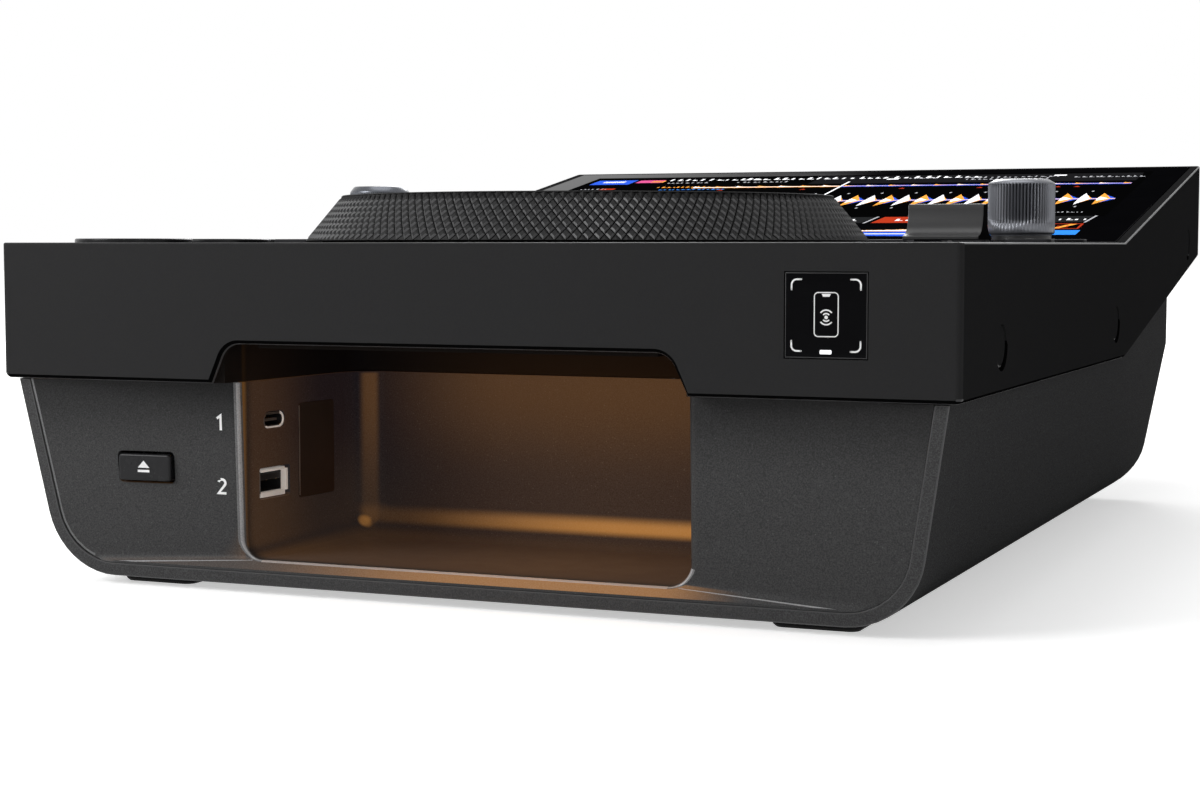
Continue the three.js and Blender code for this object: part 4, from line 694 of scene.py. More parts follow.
FINISH_TABLE = {
    ("grain", 0.5): (
        ("satin case", ("case", 1.0), ("case", 1.25), 2600, (0.46, 0.5), (0.12, 0.015),
         {"specular": 0, "coat_rough": 0.36}),
        # Lighter copies of the case paint: painted highlights on the chamfers, the corners and the deck's front.
        ("case edge", ("case", 2.6), ("case", 3.4), 2600, (0.3, 0.38), (0.08, 0.01), {"specular": 0.1}),
        ("deck front", ("case", 1.1), ("case", 1.5), 2600, (0.4, 0.5), (0.08, 0.01), {"specular": 0.05}),
        ("case corner", ("case", 1.9), ("case", 2.4), 2600, (0.34, 0.4), (0.08, 0.01), {"specular": 0.1}),
        # A darker copy: painted shade on the skirt's foot.
        ("case foot", ("case", 0.1), ("case", 0.16), 2600, (0.4, 0.5), (0.08, 0.01), {"specular": 0}),
        # A lighter copy of the shell paint: a painted highlight on the rim's edges.
        ("shell edge", ("shell", 2.0), ("shell", 2.6), 2600, (0.3, 0.38), (0.08, 0.01), {"specular": 0.15}),
        # Darker and warmer than the case: painted shade and a painted warm reflection under the hood.
        ("bay hood", (0.0125, 0.0105, 0.0095), (0.015, 0.0125, 0.011), 2200, (0.5, 0.6), (0.1, 0.01),
         {"specular": 0}),
        ("knurled ring", ("knurl", 1.0), ("knurl", 1.5), 1800, (0.45, 0.55), (0.15, 0.02), {"specular": 0.08}),
        # knurl edge paints highlights on the diamonds' lower bevels, knurl groove paints shade in the grooves.
        ("knurl edge", ("knurl", 5.0), ("knurl", 6.0), 1800, (0.34, 0.42), (0.1, 0.01), {"specular": 0.3}),
        ("knurl groove", ("knurl", 0.3), ("knurl", 0.4), 1800, (0.6, 0.7), (0.1, 0.01), {"specular": 0}),
        ("knob foot", (0.006, 0.006, 0.007), (0.01, 0.01, 0.011), 2200, (0.3, 0.42), (0.1, 0.01), {}),
        ("fader cap", (0.028, 0.028, 0.029), (0.037, 0.037, 0.038), 3000, (0.3, 0.38), (0.1, 0.01),
         {"specular": 0.3}),
        # Darker than the cap: painted shade on the cap's end faces.
        ("fader end", (0.008, 0.008, 0.0083), (0.011, 0.011, 0.0113), 3000, (0.5, 0.6), (0.1, 0.01),
         {"specular": 0}),
        ("soft key", ("key", 1.7), ("key", 2.6), 3200, (0.5, 0.62), (0.2, 0.02), {"specular": 0.15}),
        ("pane rim", (0.035, 0.035, 0.036), (0.045, 0.045, 0.046), 2600, (0.3, 0.4), (0.05, 0.005),
         {"specular": 0.2}),
        ("label edge", (0.22, 0.17, 0.14), (0.26, 0.20, 0.17), 2600, (0.3, 0.4), (0.05, 0.01), {}),
        ("white mark", ("mark", 1.0), ("mark", 0.94), 2600, (0.5, 0.6), (0.05, 0.005), {}),
        ("grey mark", (0.22, 0.22, 0.22), (0.19, 0.19, 0.19), 2600, (0.5, 0.6), (0.05, 0.005), {}),
        ("socket plastic", (0.009, 0.009, 0.0095), (0.014, 0.014, 0.015), 2400, (0.42, 0.55), (0.15, 0.015),
         {}),
        ("red ring", (0.4, 0.012, 0.01), (0.34, 0.01, 0.008), 2400, (0.35, 0.45), (0.1, 0.01), {}),
        ("orange ring", (0.62, 0.17, 0.01), (0.55, 0.14, 0.008), 2400, (0.35, 0.45), (0.1, 0.01), {}),
        ("screen back", (0.012, 0.012, 0.013), (0.018, 0.018, 0.02), 1400, (0.5, 0.6), (0.1, 0.02), {}),
    ),
    ("grain", 0.6): (
        ("floor glint", (0.40, 0.36, 0.34), (0.46, 0.42, 0.40), 2300, (0.2, 0.3), (0.1, 0.01), {}),
        ("rear paint", (0.016, 0.016, 0.017), (0.024, 0.024, 0.025), 1600, (0.42, 0.55), (0.3, 0.03), {}),
        ("rubber", (0.01, 0.01, 0.01), (0.018, 0.018, 0.018), 1400, (0.75, 0.88), (0.5, 0.05),
         {"specular": 0.25}),
    ),
    ("speckle", 0.9): (
        ("speckled shell", ("shell", 1.2), ("speck", 1.2), 2300, (0.46, 0.54), (0.35, 0.04),
         {"specular": 0, "coat_rough": 0.4}),
        ("speckled front", ("shell", 0.92), ("speck", 0.92), 2300, (0.4, 0.48), (0.35, 0.04),
         {"specular": 0.1}),
        # bay paint is a darker copy, painted shade inside the tub; ramp paint a lighter one, painted light on the
        # ramp.
        ("bay paint", ("shell", 0.62), ("speck", 0.62), 2300, (0.42, 0.5), (0.35, 0.04), {"specular": 0.05}),
        ("ramp paint", ("shell", 1.5), ("speck", 1.5), 2300, (0.4, 0.48), (0.35, 0.04), {"specular": 0.15}),
    ),
    ("speckle", 0.6): (
        # Painted highlights on the bay's mouth, the crease below it and the left rim.
        ("bay lip", ("shell", 3.4), ("speck", 3.0), 2300, (0.26, 0.34), (0.3, 0.03), {"specular": 0.3}),
        ("bay glint", ("shell", 9.0), ("speck", 7.0), 2300, (0.2, 0.3), (0.3, 0.03), {}),
    ),
    ("turned", 0.8): (
        ("jog plate", (0.022, 0.022, 0.024), (0.035, 0.035, 0.038), 2400, (0.3, 0.42), (0.15, 0.01),
         {"metal": 0.6, **JOG_RINGS}),
    ),
    ("turned", 0.6): (
        ("jog trim", (0.16, 0.165, 0.18), (0.22, 0.225, 0.24), 3000, (0.2, 0.3), (0.1, 0.01),
         {"metal": 1, **JOG_RINGS}),
    ),
    ("brushed", 0.5): (
        ("knob metal", ("knob", 1.0), ("knob", 1.15), 1800, (0.3, 0.36), (0.04, 0.005),
         {"metal": 0.7, **ROUND_STRETCH}),
        # A darker copy of the knob metal: painted shade at the bottoms of the ribs.
        ("knob groove", ("knob", 0.14), ("knob", 0.2), 1800, (0.4, 0.5), (0.04, 0.005),
         {"metal": 0.6, **ROUND_STRETCH}),
        ("dial metal", ("dial", 0.5), ("dial", 0.62), 1800, (0.26, 0.32), (0.04, 0.005),
         {"metal": 1, **ROUND_STRETCH}),
        ("nickel", (0.56, 0.55, 0.53), (0.66, 0.65, 0.62), 1400, (0.22, 0.32), (0.08, 0.008),
         {"metal": 0.6, **LONG_STRETCH}),
        ("gold contact", (0.72, 0.48, 0.16), (0.8, 0.56, 0.22), 1400, (0.2, 0.3), (0.05, 0.005),
         {"metal": 1, **LONG_STRETCH}),
        ("screw steel", (0.12, 0.12, 0.125), (0.18, 0.18, 0.185), 1600, (0.25, 0.38), (0.1, 0.01),
         {"metal": 1, "Stretch": (1, 1, 1)}),
    ),
    ("brushed", 0.6): (
        ("steel box", (0.42, 0.43, 0.44), (0.5, 0.51, 0.52), 500, (0.3, 0.42), (0.1, 0.02),
         {"metal": 1, "Stretch": (0.1, 1, 1)}),
    ),
    ("traces", 0.8): (
        ("board lacquer", (0.006, 0.05, 0.022), (0.02, 0.12, 0.05), 240, (0.25, 0.35), (0.2, 0.02), {}),
    ),
    ("dust", 0.5): (
        ("hard key", ("key", 1.0), ("key", 1.6), 160, (0.24, 0.32), (0.05, 0.006), {"specular": 0.16}),
        ("label gloss", (0.052, 0.034, 0.025), (0.06, 0.04, 0.03), 110, (0.2, 0.28), (0.02, 0.002),
         {"specular": 0.12}),
        # Painted highlights on the sockets' lips: a bright one that also glows, and a dimmer grey one.
        # socket grey also colours the small socket's tongue.
        ("socket bright", (0.86, 0.80, 0.74), (0.76, 0.70, 0.64), 700, (0.3, 0.38), (0.02, 0.002),
         {"specular": 0.6, "glow": 0.2}),
        ("socket grey", (0.11, 0.095, 0.082), (0.08, 0.07, 0.06), 700, (0.3, 0.38), (0.02, 0.002), {}),
    ),
    ("dust", 0.4): (
        ("black glass", ("glass", 1.0), ("glass", 1.5), 60, (0.4, 0.5), (0.01, 0.001),
         {"specular": 0, "coat": 1}),
        ("pane glass", ("glass", 1.0), ("glass", 1.5), 90, (0.4, 0.5), (0.01, 0.001),
         {"specular": 0, "coat": 0.04}),
        ("lit white", (0.85, 0.85, 0.87), (0.8, 0.8, 0.82), 300, (0.4, 0.5), (0.02, 0.002), {"glow": 0.75}),
        ("amber light", ("amber", 1.0), ("amber", 0.9), 260, (0.5, 0.6), (0.02, 0.002), {"glow": 2}),
        ("play light", ("play_light", 1.0), ("play_light", 0.85), 260, (0.3, 0.4), (0.02, 0.002),
         {"glow": 0.8}),
        ("cue light", ("cue_light", 1.0), ("cue_light", 0.85), 260, (0.3, 0.4), (0.02, 0.002), {"glow": 0.8}),
    ),
}

SCREEN_COLOURS = {
    "grey": ((0.014, 0.0145, 0.0155), 0.5),
    "dim": ((0.010, 0.010, 0.011), 0.5),
    "white": ((0.82, 0.82, 0.84), 0.9),
    "pale": ((0.35, 0.35, 0.37), 0.9),
    "blue": (("wave_blue", 1.0), 0.7),
    "sky": ((0.03, 0.22, 0.72), 0.7),
    "orange": (("wave_orange", 1.0), 0.7),
    "red": ((0.40, 0.035, 0.012), 0.55),
    "pink": ((0.60, 0.08, 0.24), 0.6),
    "black": ((0.0016, 0.0016, 0.0017), 0.2),
}
GREY, DIM, WHITE, PALE, BLUE, SKY, ORANGE, RED, PINK, BLACK = range(len(SCREEN_COLOURS))


# Pieces


class PLAYER_OT_finishes(bpy.types.Operator):
    """Mix the finishes that the pieces are painted with"""

    bl_idname = "player.finishes"
    bl_label = "Finishes"

    def execute(self, context):
        tint = context.scene.player_colours

        def mix(colour):
            return scaled(getattr(tint, colour[0]), colour[1]) if isinstance(colour[0], str) else colour

        for (kind, amount), rows in FINISH_TABLE.items():
            for name, first, second, scale, rough, bump, others in rows:
                finish(name, kind, (mix(first), mix(second)), scale, amount, rough, bump, **others)
        for name, (first, glow) in SCREEN_COLOURS.items():
            colours = mix(first), scaled(mix(first), 0.88)
            rough, bump = (0.45, 0.55), (0.01, 0.001)
            finish(f"screen {name}", "dust", colours, 900, 0.4, rough, bump, specular=0, glow=glow)
        soften_gloss("satin case", 0.1)
        soften_gloss("speckled shell", 0.1)
        # At grazing angles the glass keeps more coat on its left: a reflection painted onto its left.
        soften_gloss("black glass", 0.35, 0.42, 0.0)
        shade_upper("speckled front", 0.044, SPLIT * MM, 0.4)
        # The bay's painted amber light goes onto these finishes, as emission of these strengths.
        lit = {"speckled front": 1.0, "bay paint": 1.0, "ramp paint": 1.0, "bay hood": 0.07}
        for name, strength in lit.items():
            add_bay_glow(name, tint.amber, strength)
        return {"FINISHED"}


def hang_lamp(name, shape, power, place, turn):
    """An area lamp at a place in metres, turned as its Euler angles say."""
    data = bpy.data.lights.new(name, "AREA")
    data.shape, data.energy = shape, power
    lamp = bpy.data.objects.new(name, data)
    lamp.location, lamp.rotation_euler = place, turn
    bpy.context.scene.collection.objects.link(lamp)
    return data


class PLAYER_OT_stage(bpy.types.Operator):
    """Lay the pale floor and set the camera, the lamps and the world"""

    bl_idname = "player.stage"
    bl_label = "Stage"

    def execute(self, context):
        context.scene.view_settings.view_transform = "Standard"
        self.lay_floor(context.scene)
        self.light_world(context.scene)
        self.set_camera(context.scene)
        aim = Vector((0, 0, 0.08))
        for name, place, size, power in (
            ("key lamp", (-0.85, -1.05, 0.70), 0.8, 14.0),
            ("fill lamp", (1.3, -1.6, 0.6), 1.0, 2.0),
            ("top lamp", (-0.1, 0.1, 2.1), 1.6, 13.0),
            ("back lamp", (-0.6, 1.9, 1.3), 1.2, 22.0),
        ):
            turn = (aim - Vector(place)).to_track_quat("-Z", "Y").to_euler()
            hang_lamp(name, "DISK", power, place, turn).size = size
        return {"FINISHED"}

    def lay_floor(self, scene):
        mesh = bmesh.new()
        skin(mesh, [ring(9.0, -0.05, 96), ring(9.0, 0.0, 96)])
        data = bpy.data.meshes.new("floor")
        mesh.to_mesh(data)
        mesh.free()
        floor = bpy.data.objects.new("floor", data)
        scene.collection.objects.link(floor)
        paint = bpy.data.materials.new("pale floor")
        paint.use_nodes = True
        nodes = Wiring(paint.node_tree)
        shader = paint.node_tree.nodes["Principled BSDF"]
        place = nodes.place()
        tone = nodes.mixed(nodes.noise(place, 3.0), (0.86, 0.86, 0.86, 1), (0.89, 0.89, 0.89, 1))
        nodes.join(tone, shader.inputs["Base Color"])
        away = nodes.eased(nodes.vector("LENGTH", place, (0, 0, 0)), 0.5, 1.5, 0.52, 1.0)
        glow = nodes.mixed(nodes.times(self.seen_ray(nodes), away), (0, 0, 0, 1), (1, 1, 1, 1))
        nodes.join(glow, shader.inputs["Emission Color"])
        fill(shader, Roughness=0.9, Specular_IOR_Level=0.1, Emission_Strength=1.0)
        data.materials.append(paint)

    def seen_ray(self, nodes):
        path = nodes.add("ShaderNodeLightPath").outputs
        mirrored = nodes.maths("MAXIMUM", path["Is Glossy Ray"], path["Is Transmission Ray"])
        return nodes.maths("MAXIMUM", path["Is Camera Ray"], mirrored)

    def light_world(self, scene):
        """A dim white light whose background is seen as full white."""
        scene.world = bpy.data.worlds.new("studio")
        scene.world.use_nodes = True
        nodes = Wiring(scene.world.node_tree)
        nodes.tree.nodes.clear()
        lit, shown = (
            nodes.joined("ShaderNodeBackground", {"Color": (1, 1, 1, 1), "Strength": strength}).outputs[0]
            for strength in (0.24, 1.0)
        )
        mix = nodes.joined("ShaderNodeMixShader", {0: self.seen_ray(nodes), 1: lit, 2: shown})
        nodes.joined("ShaderNodeOutputWorld", {"Surface": mix.outputs[0]})

    def set_camera(self, scene):
        data = bpy.data.cameras.new("camera")
        data.sensor_width, data.lens, data.clip_start = 36, 64.59, 0.01
        camera = bpy.data.objects.new("camera", data)
        camera.location = (0.30508, -0.83659, 0.11473)
        camera.rotation_euler = (math.radians(90 - 4.13), 0, math.radians(22.91))
        scene.collection.objects.link(camera)
        scene.camera = camera


class PLAYER_OT_top_case(bpy.types.Operator):
    """Build the top case with its chamfered edges, painted as highlights and shade, and the hood over the bay,
    painted dark as shade
    """

    bl_idname = "player.top_case"
    bl_label = "Top case"

    # EDGE, CORNER and NOSE are lighter finishes: painted highlights on the chamfers and corners.
    # FOOT and HOOD are darker finishes: painted shade on the skirt's foot and under the case over the bay.
    EDGE, FOOT, HOOD, CORNER, NOSE = range(1, 6)
    CORNER_WIDTH = 1.4
    REACH = 2.2
    HOOD_SHIFT = 2.2

    def execute(self, context):
        sizes = context.scene.player_sizes
        mesh = from_node("top_case")
        for vert in mesh.verts:
            if vert.co.y < FRONT + 4 and abs(vert.co.x - HOOD_WALL) < 0.1:
                vert.co.x += self.HOOD_SHIFT
        # Faces under the case over the bay take the hood finish, painted darker and warmer as shade.
        for face in mesh.faces:
            centre = face.calc_center_median()
            inside = FRONT + 1.0 < centre.y < FRONT + 95 and abs(centre.x) < 86 and centre.z < DECK - 28
            face.material_index = self.HOOD if inside else 0
        # The upright corners are rounded and painted lighter, as a painted highlight.
        corners = [edge for edge in sharp_edges(mesh) if self.is_corner(edge)]
        bevel(mesh, corners, self.CORNER_WIDTH, 4, self.CORNER)
        outer, low, rims = [], [], []
        for edge in sharp_edges(mesh):
            spot = middle_of(edge)
            at_side = self.is_outer(spot)
            upper = DECK + max(0.0, spot.y - SLOPE_START) * math.tan(SLOPE_TURN)
            on_top = abs(spot.z - upper) < 0.05
            along_side = all(self.is_outer(vert.co) for vert in edge.verts)
            if at_side and on_top:
                outer.append(edge)
            elif at_side and spot.y < FRONT + 0.1 and spot.z < DECK - 30 and abs(spot.x) < 90:
                low.append(edge)
            elif at_side and along_side and spot.z < min(110, upper - 30):
                low.append(edge)
            elif on_top:
                rims.append(edge)
        # The deck's edge gets a painted highlight line, fainter along its front.
        bevel(mesh, outer, sizes.top_edge / MM, 2, self.EDGE)
        for face in mesh.faces:
            if face.material_index == self.EDGE and face.calc_center_median().y < FRONT + 0.6:
                face.material_index = self.NOSE
        bevel(mesh, rims, 0.18, 1)
        # The skirt's foot is painted dark as shade, with a painted highlight line where it meets what lies behind.
        bevel(mesh, low, sizes.low_edge / MM, 1, self.FOOT)
        bevel(mesh, [edge for edge in sharp_edges(mesh, 20) if self.is_under(edge)], 0.4, 1, self.EDGE)
        finishes = ("satin case", "case edge", "case foot", "bay hood", "case corner", "deck front")
        piece("case_cover", mesh, finishes, "top_case")
        return {"FINISHED"}

    def is_corner(self, edge):
        a, b = (vert.co for vert in edge.verts)
        upright = abs(a.x - b.x) < 0.1 and abs(a.y - b.y) < 0.1
        return upright and abs(abs(a.x) - HALF) < 0.1 and min(abs(a.y - FRONT), abs(a.y - BACK)) < 0.1

    def is_under(self, edge):
        """Whether an edge parts the foot, painted dark as shade, from what lies behind it."""
        numbers = sorted(face.material_index for face in edge.link_faces)
        normals = [face.normal for face in edge.link_faces]
        behind = all(normal.y > -0.95 and abs(normal.x) < 0.999 for normal in normals)
        return numbers in ([0, self.FOOT], [self.FOOT, self.HOOD]) and behind

    def is_outer(self, point):
        at_end = point.y < FRONT + self.REACH or point.y > BACK - self.REACH
        return at_end or abs(abs(point.x) - HALF) < self.REACH


class PLAYER_OT_shell(bpy.types.Operator):
    """Build the lower shell with its rim, vents and soft corners"""

    bl_idname = "player.shell"
    bl_label = "Lower shell"

    SHELL_DEPTH = 415.0

    def execute(self, context):
        mesh = from_node("lower_shell")
        rim, backs, slots = [], [], []
        for edge in sharp_edges(mesh, 25):
            spot = middle_of(edge)
            run = edge.verts[0].co - edge.verts[1].co
            if spot.y < FRONT + 12:
                rim.append(edge)
            elif spot.y > 90 and abs(spot.x) > 90 and abs(run.z) > 0.3 * run.length:
                backs.append(edge)
            elif spot.z < 3.2 and abs(spot.x) < 40:
                slots.append(edge)
        # The rim's edges are rounded and painted lighter, as a painted highlight.
        bevel(mesh, rim, 0.45, 2, 1)
        bevel(mesh, [edge for edge in backs if edge.is_valid and self.on_skin(edge)], 5.0, 5)
        bevel(mesh, slots, 0.4, 1)
        piece("shell_body", mesh, ("speckled shell", "shell edge"), "lower_shell")
        return {"FINISHED"}

    def on_skin(self, edge):
        """Whether an edge lies where the shell's leaning side and back meet."""
        for vert in edge.verts:
            x, y, z = vert.co
            side = SHELL_HALF - (SPLIT - z) * SIDE_LEAN
            back = FRONT + self.SHELL_DEPTH - (SPLIT - z) * SIDE_LEAN
            if z > SPLIT or z < 28 or abs(abs(x) - side) > 0.4 or abs(y - back) > 0.4:
                return False
        return True


SOCKET_SETBACK = 20.4
SMALL_SOCKET = SOCKET_SETBACK, BAY_FLOOR + 44.9
LARGE_SOCKET = SOCKET_SETBACK, BAY_FLOOR + 23.8


class PLAYER_OT_front(bpy.types.Operator):
    """Build the front panels and the bay's tub as one skin with rounded edges"""

    bl_idname = "player.front"
    bl_label = "Front panels"

    TOP = SPLIT - 0.3
    LIP = FRONT + 13.2
    RAMP_FOOT = FRONT + 9.3
    WALL = 2.2
    MOUTH_RADIUS = 7.0
    MOUTH_TURNS = (0, 8, 16, 24, 32, 40, 47, 54, 62.2, 65.4, 73.5, 81.7, 90)
    SHELL_TURNS = tuple(9.6 + (90 - 9.6) * i / 7 for i in range(8))
    CREASE_FEET = (126.0, 119.0, 110.0, 100.0, 90.0)
    # RAMP is painted lighter as lit, and TUB darker as shade.
    # RIM, GLINT and FLOOR_GLINT are lighter finishes: painted highlights on the mouth, crease and floor lip.
    PANEL, RIM, GLINT, FLOOR_GLINT, TUB, RAMP = range(6)
    ARC_ROWS = 6
    HOLLOW = 11.5

    def execute(self, context):
        mesh = self.skin_rows(context.scene.player_sizes.bay_edge / MM)
        bmesh.ops.solidify(mesh, geom=mesh.faces[:], thickness=-self.WALL)
        mesh = carve(mesh, self.openings())
        finishes = ("speckled front", "bay lip", "bay glint", "floor glint", "bay paint", "ramp paint")
        piece("front_panels", mesh, finishes, "front_fascia", sharp=28.0)
        return {"FINISHED"}

    def outline(self, centre_x, centre_z, radius, lean, turns=MOUTH_TURNS, low=()):
        """A U from the upper left round the bottom to the upper right, as X and Z."""
        arc = []
        for turn in (lean, *turns):
            turn = math.radians(turn)
            arc.append((centre_x + radius * math.cos(turn), centre_z - radius * math.sin(turn)))
        low_x, low_z = arc.pop(0)
        top_x = low_x + (self.TOP - low_z) * math.tan(math.radians(lean))
        run_x, run_z = low_x - top_x, low_z - self.TOP
        half = [(top_x + run_x * i / 6, self.TOP + run_z * i / 6) for i in range(6)] + arc
        half += [(x, centre_z - radius) for x in low]
        last = half[-1][0]
        half += [(last * (1 - i / 4), centre_z - radius) for i in range(1, 4)]
        return [(-x, z) for x, z in half] + [(0, centre_z - radius)] + half[::-1]

    def front_y(self, x, z):
        """How far back the front lies, with the ramp below the bay's lip."""
        ramp = max(self.RAMP_FOOT, self.LIP - (BAY_FLOOR - z) / 0.7)
        return min(panel_y(max(abs(x), BAY_HALF), z), ramp)

    def skin_rows(self, edge):
        outer, foot = (
            self.outline(128.1, 28.0, radius, 9.6, self.SHELL_TURNS, self.CREASE_FEET) for radius in (20.5, 19.73)
        )
        centre_x, centre_z, radius = BAY_HALF - self.MOUTH_RADIUS, BAY_FLOOR + self.MOUTH_RADIUS, self.MOUTH_RADIUS
        mouth = self.outline(centre_x, centre_z, radius, 0)
        count = len(mouth)
        reach = [0.8 + (edge - 0.8) * max(0.0, min(1.0, (z - BAY_FLOOR) / 6.0)) for x, z in mouth]
        wide = []
        for (x, z), part in zip(mouth, reach):
            dx, dz = abs(x) - centre_x, centre_z - z
            if dx <= 0:
                wide.append((x, z - part))
            elif dz <= 0:
                wide.append((math.copysign(abs(x) + part, x), z))
            else:
                share = part / radius
                wide.append((math.copysign(abs(x) + dx * share, x), z - dz * share))
        rows = [[(x, self.front_y(x, z), z) for x, z in row] for row in (outer, foot, wide)]
        corner = [(x, self.front_y(x, z), z) for x, z in mouth]
        inner = [(x, y + part, z) for (x, y, z), part in zip(corner, reach)]
        for i in range(1, self.ARC_ROWS):
            share = i / self.ARC_ROWS
            rows.append([bend(*ends, share) for ends in zip(rows[2], corner, inner)])
        rows.append(inner)
        start, radius = BAY_DEPTH + BAY_SETBACK - self.HOLLOW, 12.5
        rows += [self.section(*place) for place in ((25.0, 8.0), (45.0, 10.0), (start, radius))]
        for i in range(1, 10):
            turn = math.radians(90 * i / 9)
            inset = self.HOLLOW * (1 - math.cos(turn))
            rows.append(self.section(start + self.HOLLOW * math.sin(turn), radius - inset, inset))
        mesh = bmesh.new()
        placed = [[mesh.verts.new(point) for point in row] for row in rows]
        for j, (low, high) in enumerate(zip(placed, placed[1:])):
            for i in range(count - 1):
                face = mesh.faces.new((low[i], high[i], high[i + 1], low[i + 1]))
                face.material_index = self.row_finish(j, min(i, count - 2 - i), face.calc_center_median())
        mesh.faces.new(placed[-1][::-1]).material_index = self.TUB
        mesh.normal_update()
        return mesh

    def row_finish(self, row, column, spot):
        """The number of the finish of a face by its row, its column and its place."""
        crease, tub = 14, 2 + self.ARC_ROWS
        upright = spot.z > BAY_FLOOR + 5.5
        outside = abs(spot.x) > BAY_HALF - 2
        if row >= tub:
            return self.TUB
        # Row 0: a painted highlight on the rim's left side, plain panel elsewhere.
        if row == 0:
            return self.RIM if spot.x < -BAY_HALF and spot.z > 9.5 else self.PANEL
        # Row 1: panel, a painted highlight along the crease, then the ramp painted lighter as lit.
        if row == 1:
            return self.PANEL if column < crease else (self.GLINT if column == crease else self.RAMP)
        # The mouth's right edge gets no painted highlight; the ramp below is painted lighter as lit.
        if not 3 <= row < tub - 1 or (upright and spot.x > 0):
            return self.PANEL if upright or outside else self.RAMP
        # The floor's lip and the mouth's middle rows get painted glints, the other rows a painted highlight.
        if not outside and not upright and abs(spot.x) < BAY_HALF - 6.5:
            return self.FLOOR_GLINT
        return self.GLINT if row in (4, 5) else self.RIM

    def section(self, depth, radius, inset=0.0):
        """The tub's outline at a depth behind the case's front."""
        half = BAY_HALF - (BAY_HALF - BAY_BACK_HALF) * (depth - BAY_SETBACK) / BAY_DEPTH - inset
        points = self.outline(half - radius, BAY_FLOOR + inset + radius, radius, 0)
        return [(x, FRONT + depth, z) for x, z in points]

    def openings(self):
        """The holes for the eject key and the two sockets."""
        eject = Box("eject_key").centre
        planes = panel_plane(eject.x, eject.z), port_plane(*SMALL_SOCKET), port_plane(*LARGE_SOCKET)
        key, small, large = (Relief(plane) for plane in planes)
        key.plate(21.3, 10.7, 1.7, -6.0, 6.0)
        small.prism(rounded_outline(12.7, 5.9, 2.9, 8), -5.0, 5.0)
        large.plate(18.0, 10.6, 0.9, -5.0, 5.0)
        return [key.mesh, small.mesh, large.mesh]


SOCKET_FINISHES = ("socket bright", "socket plastic", "gold contact", "socket grey")
SOCKET_BRIGHT, SOCKET_DARK, SOCKET_GOLD, SOCKET_GREY = range(4)


class PLAYER_OT_bay(bpy.types.Operator):
    """Build the light bar, the sockets, the bare plate and the amber lamp of the bay"""

    bl_idname = "player.bay"
    bl_label = "Media bay"

    def execute(self, context):
        self.light_bar(context.scene.player_colours.amber)
        self.small_socket()
        self.large_socket()
        made = Relief(port_plane(46.55, 44.2))
        made.plate(22.2, 32.6, 1.2, -0.1, 0.32, 0, centre=(0.85, 0), edge=0.12)
        made.plate(0.5, 31.0, 0.2, 0.3, 0.36, 1, centre=(11.6, 0))
        piece("bay_plate", made.mesh, ("label gloss", "label edge"))
        return {"FINISHED"}

    def light_bar(self, amber):
        mesh = from_node("bay_light_bar")
        bevel(mesh, sharp_edges(mesh), 0.4, 2)
        for face in mesh.faces:
            face.material_index = 1 if face.normal.z < -0.99 else 0
        piece("light_bar", mesh, ("bay hood", "amber light"), "bay_light_bar")
        box = Box("bay_light_bar")
        place = Vector((25, box.high.y + 6, box.low.z - 6.0)) * MM
        lamp = hang_lamp("bay lamp", "RECTANGLE", 0.03, place, (math.radians(40), 0, 0))
        lamp.size, lamp.size_y = 90 * MM, 4 * MM
        lamp.spread, lamp.color = math.radians(120), amber

    def small_socket(self):
        made = Relief(port_plane(*SMALL_SOCKET))
        width, height = 12.3, 5.5
        rings = [(0.0, -12.0), (0.0, -0.45), (0.2, -0.2), (0.65, -0.2), (0.9, -0.5), (0.9, -9.0)]
        made.levels([
            (rounded_outline(width - 2 * inset, height - 2 * inset, height / 2 - inset - 0.05, 8), level)
            for inset, level in rings
        ], SOCKET_DARK)
        back = made.plane.inverted()
        # The lips at the mouth are painted as highlights: bright on the rear and lower sides, grey on the others.
        for face in made.mesh.faces:
            spot = back @ face.calc_center_median()
            if spot.z > -0.6:
                face.material_index = SOCKET_BRIGHT if spot.x < -3.2 or spot.y < -2.0 else SOCKET_GREY
        made.plate(7.4, 0.9, 0.2, -8.9, -1.6, SOCKET_GREY)
        for i in range(6):
            made.block(-2.6 + i * 0.95, -2.2 + i * 0.95, -0.5, 0.5, -6.0, -2.0, SOCKET_GOLD)
        made.plate(13.0, 6.2, 3.0, -12.5, -12.2, SOCKET_DARK)
        piece("small_socket", made.mesh, SOCKET_FINISHES, "small_media_socket")

    def large_socket(self):
        made = Relief(port_plane(*LARGE_SOCKET))
        made.plate(17.8, 10.4, 0.8, -12.6, -12.3, SOCKET_DARK)
        half_width, half_height = 8.4, 4.8
        # The lips round the mouth are painted as highlights: bright on the upper, lower and rear bars, grey on the
        # front.
        for low, high, dark in ((-12.2, -2.6, True), (-2.5, -0.4, False)):
            for wide, tall, x, y, paint in (
                (14.2, 1.7, 0.5, 0.85 - half_height, SOCKET_BRIGHT),
                (14.2, 1.1, 0.5, half_height - 0.55, SOCKET_BRIGHT),
                (1.3, 7.4, 0.65 - half_width, 0.3, SOCKET_BRIGHT),
                (0.5, 7.4, half_width - 0.25, 0.3, SOCKET_GREY),
            ):
                number = SOCKET_DARK if dark else paint
                made.plate(wide, tall, 0.2, low, high, number, centre=(x, y), edge=0.15)
        made.plate(12.0, 2.2, 0.3, -12.2, -1.9, SOCKET_DARK, centre=(0, 1.9), edge=0.2)
        for i in range(4):
            x = -4.2 + 2.8 * i
            made.block(x - 0.5, x + 0.5, 0.65, 0.85, -8.0, -2.4, SOCKET_GOLD)
        piece("large_socket", made.mesh, SOCKET_FINISHES, "large_media_socket")


PRINT_LOW, PRINT_TOP = -0.05, 0.05
MARK_LOW, MARK_TOP = -0.08, 0.03


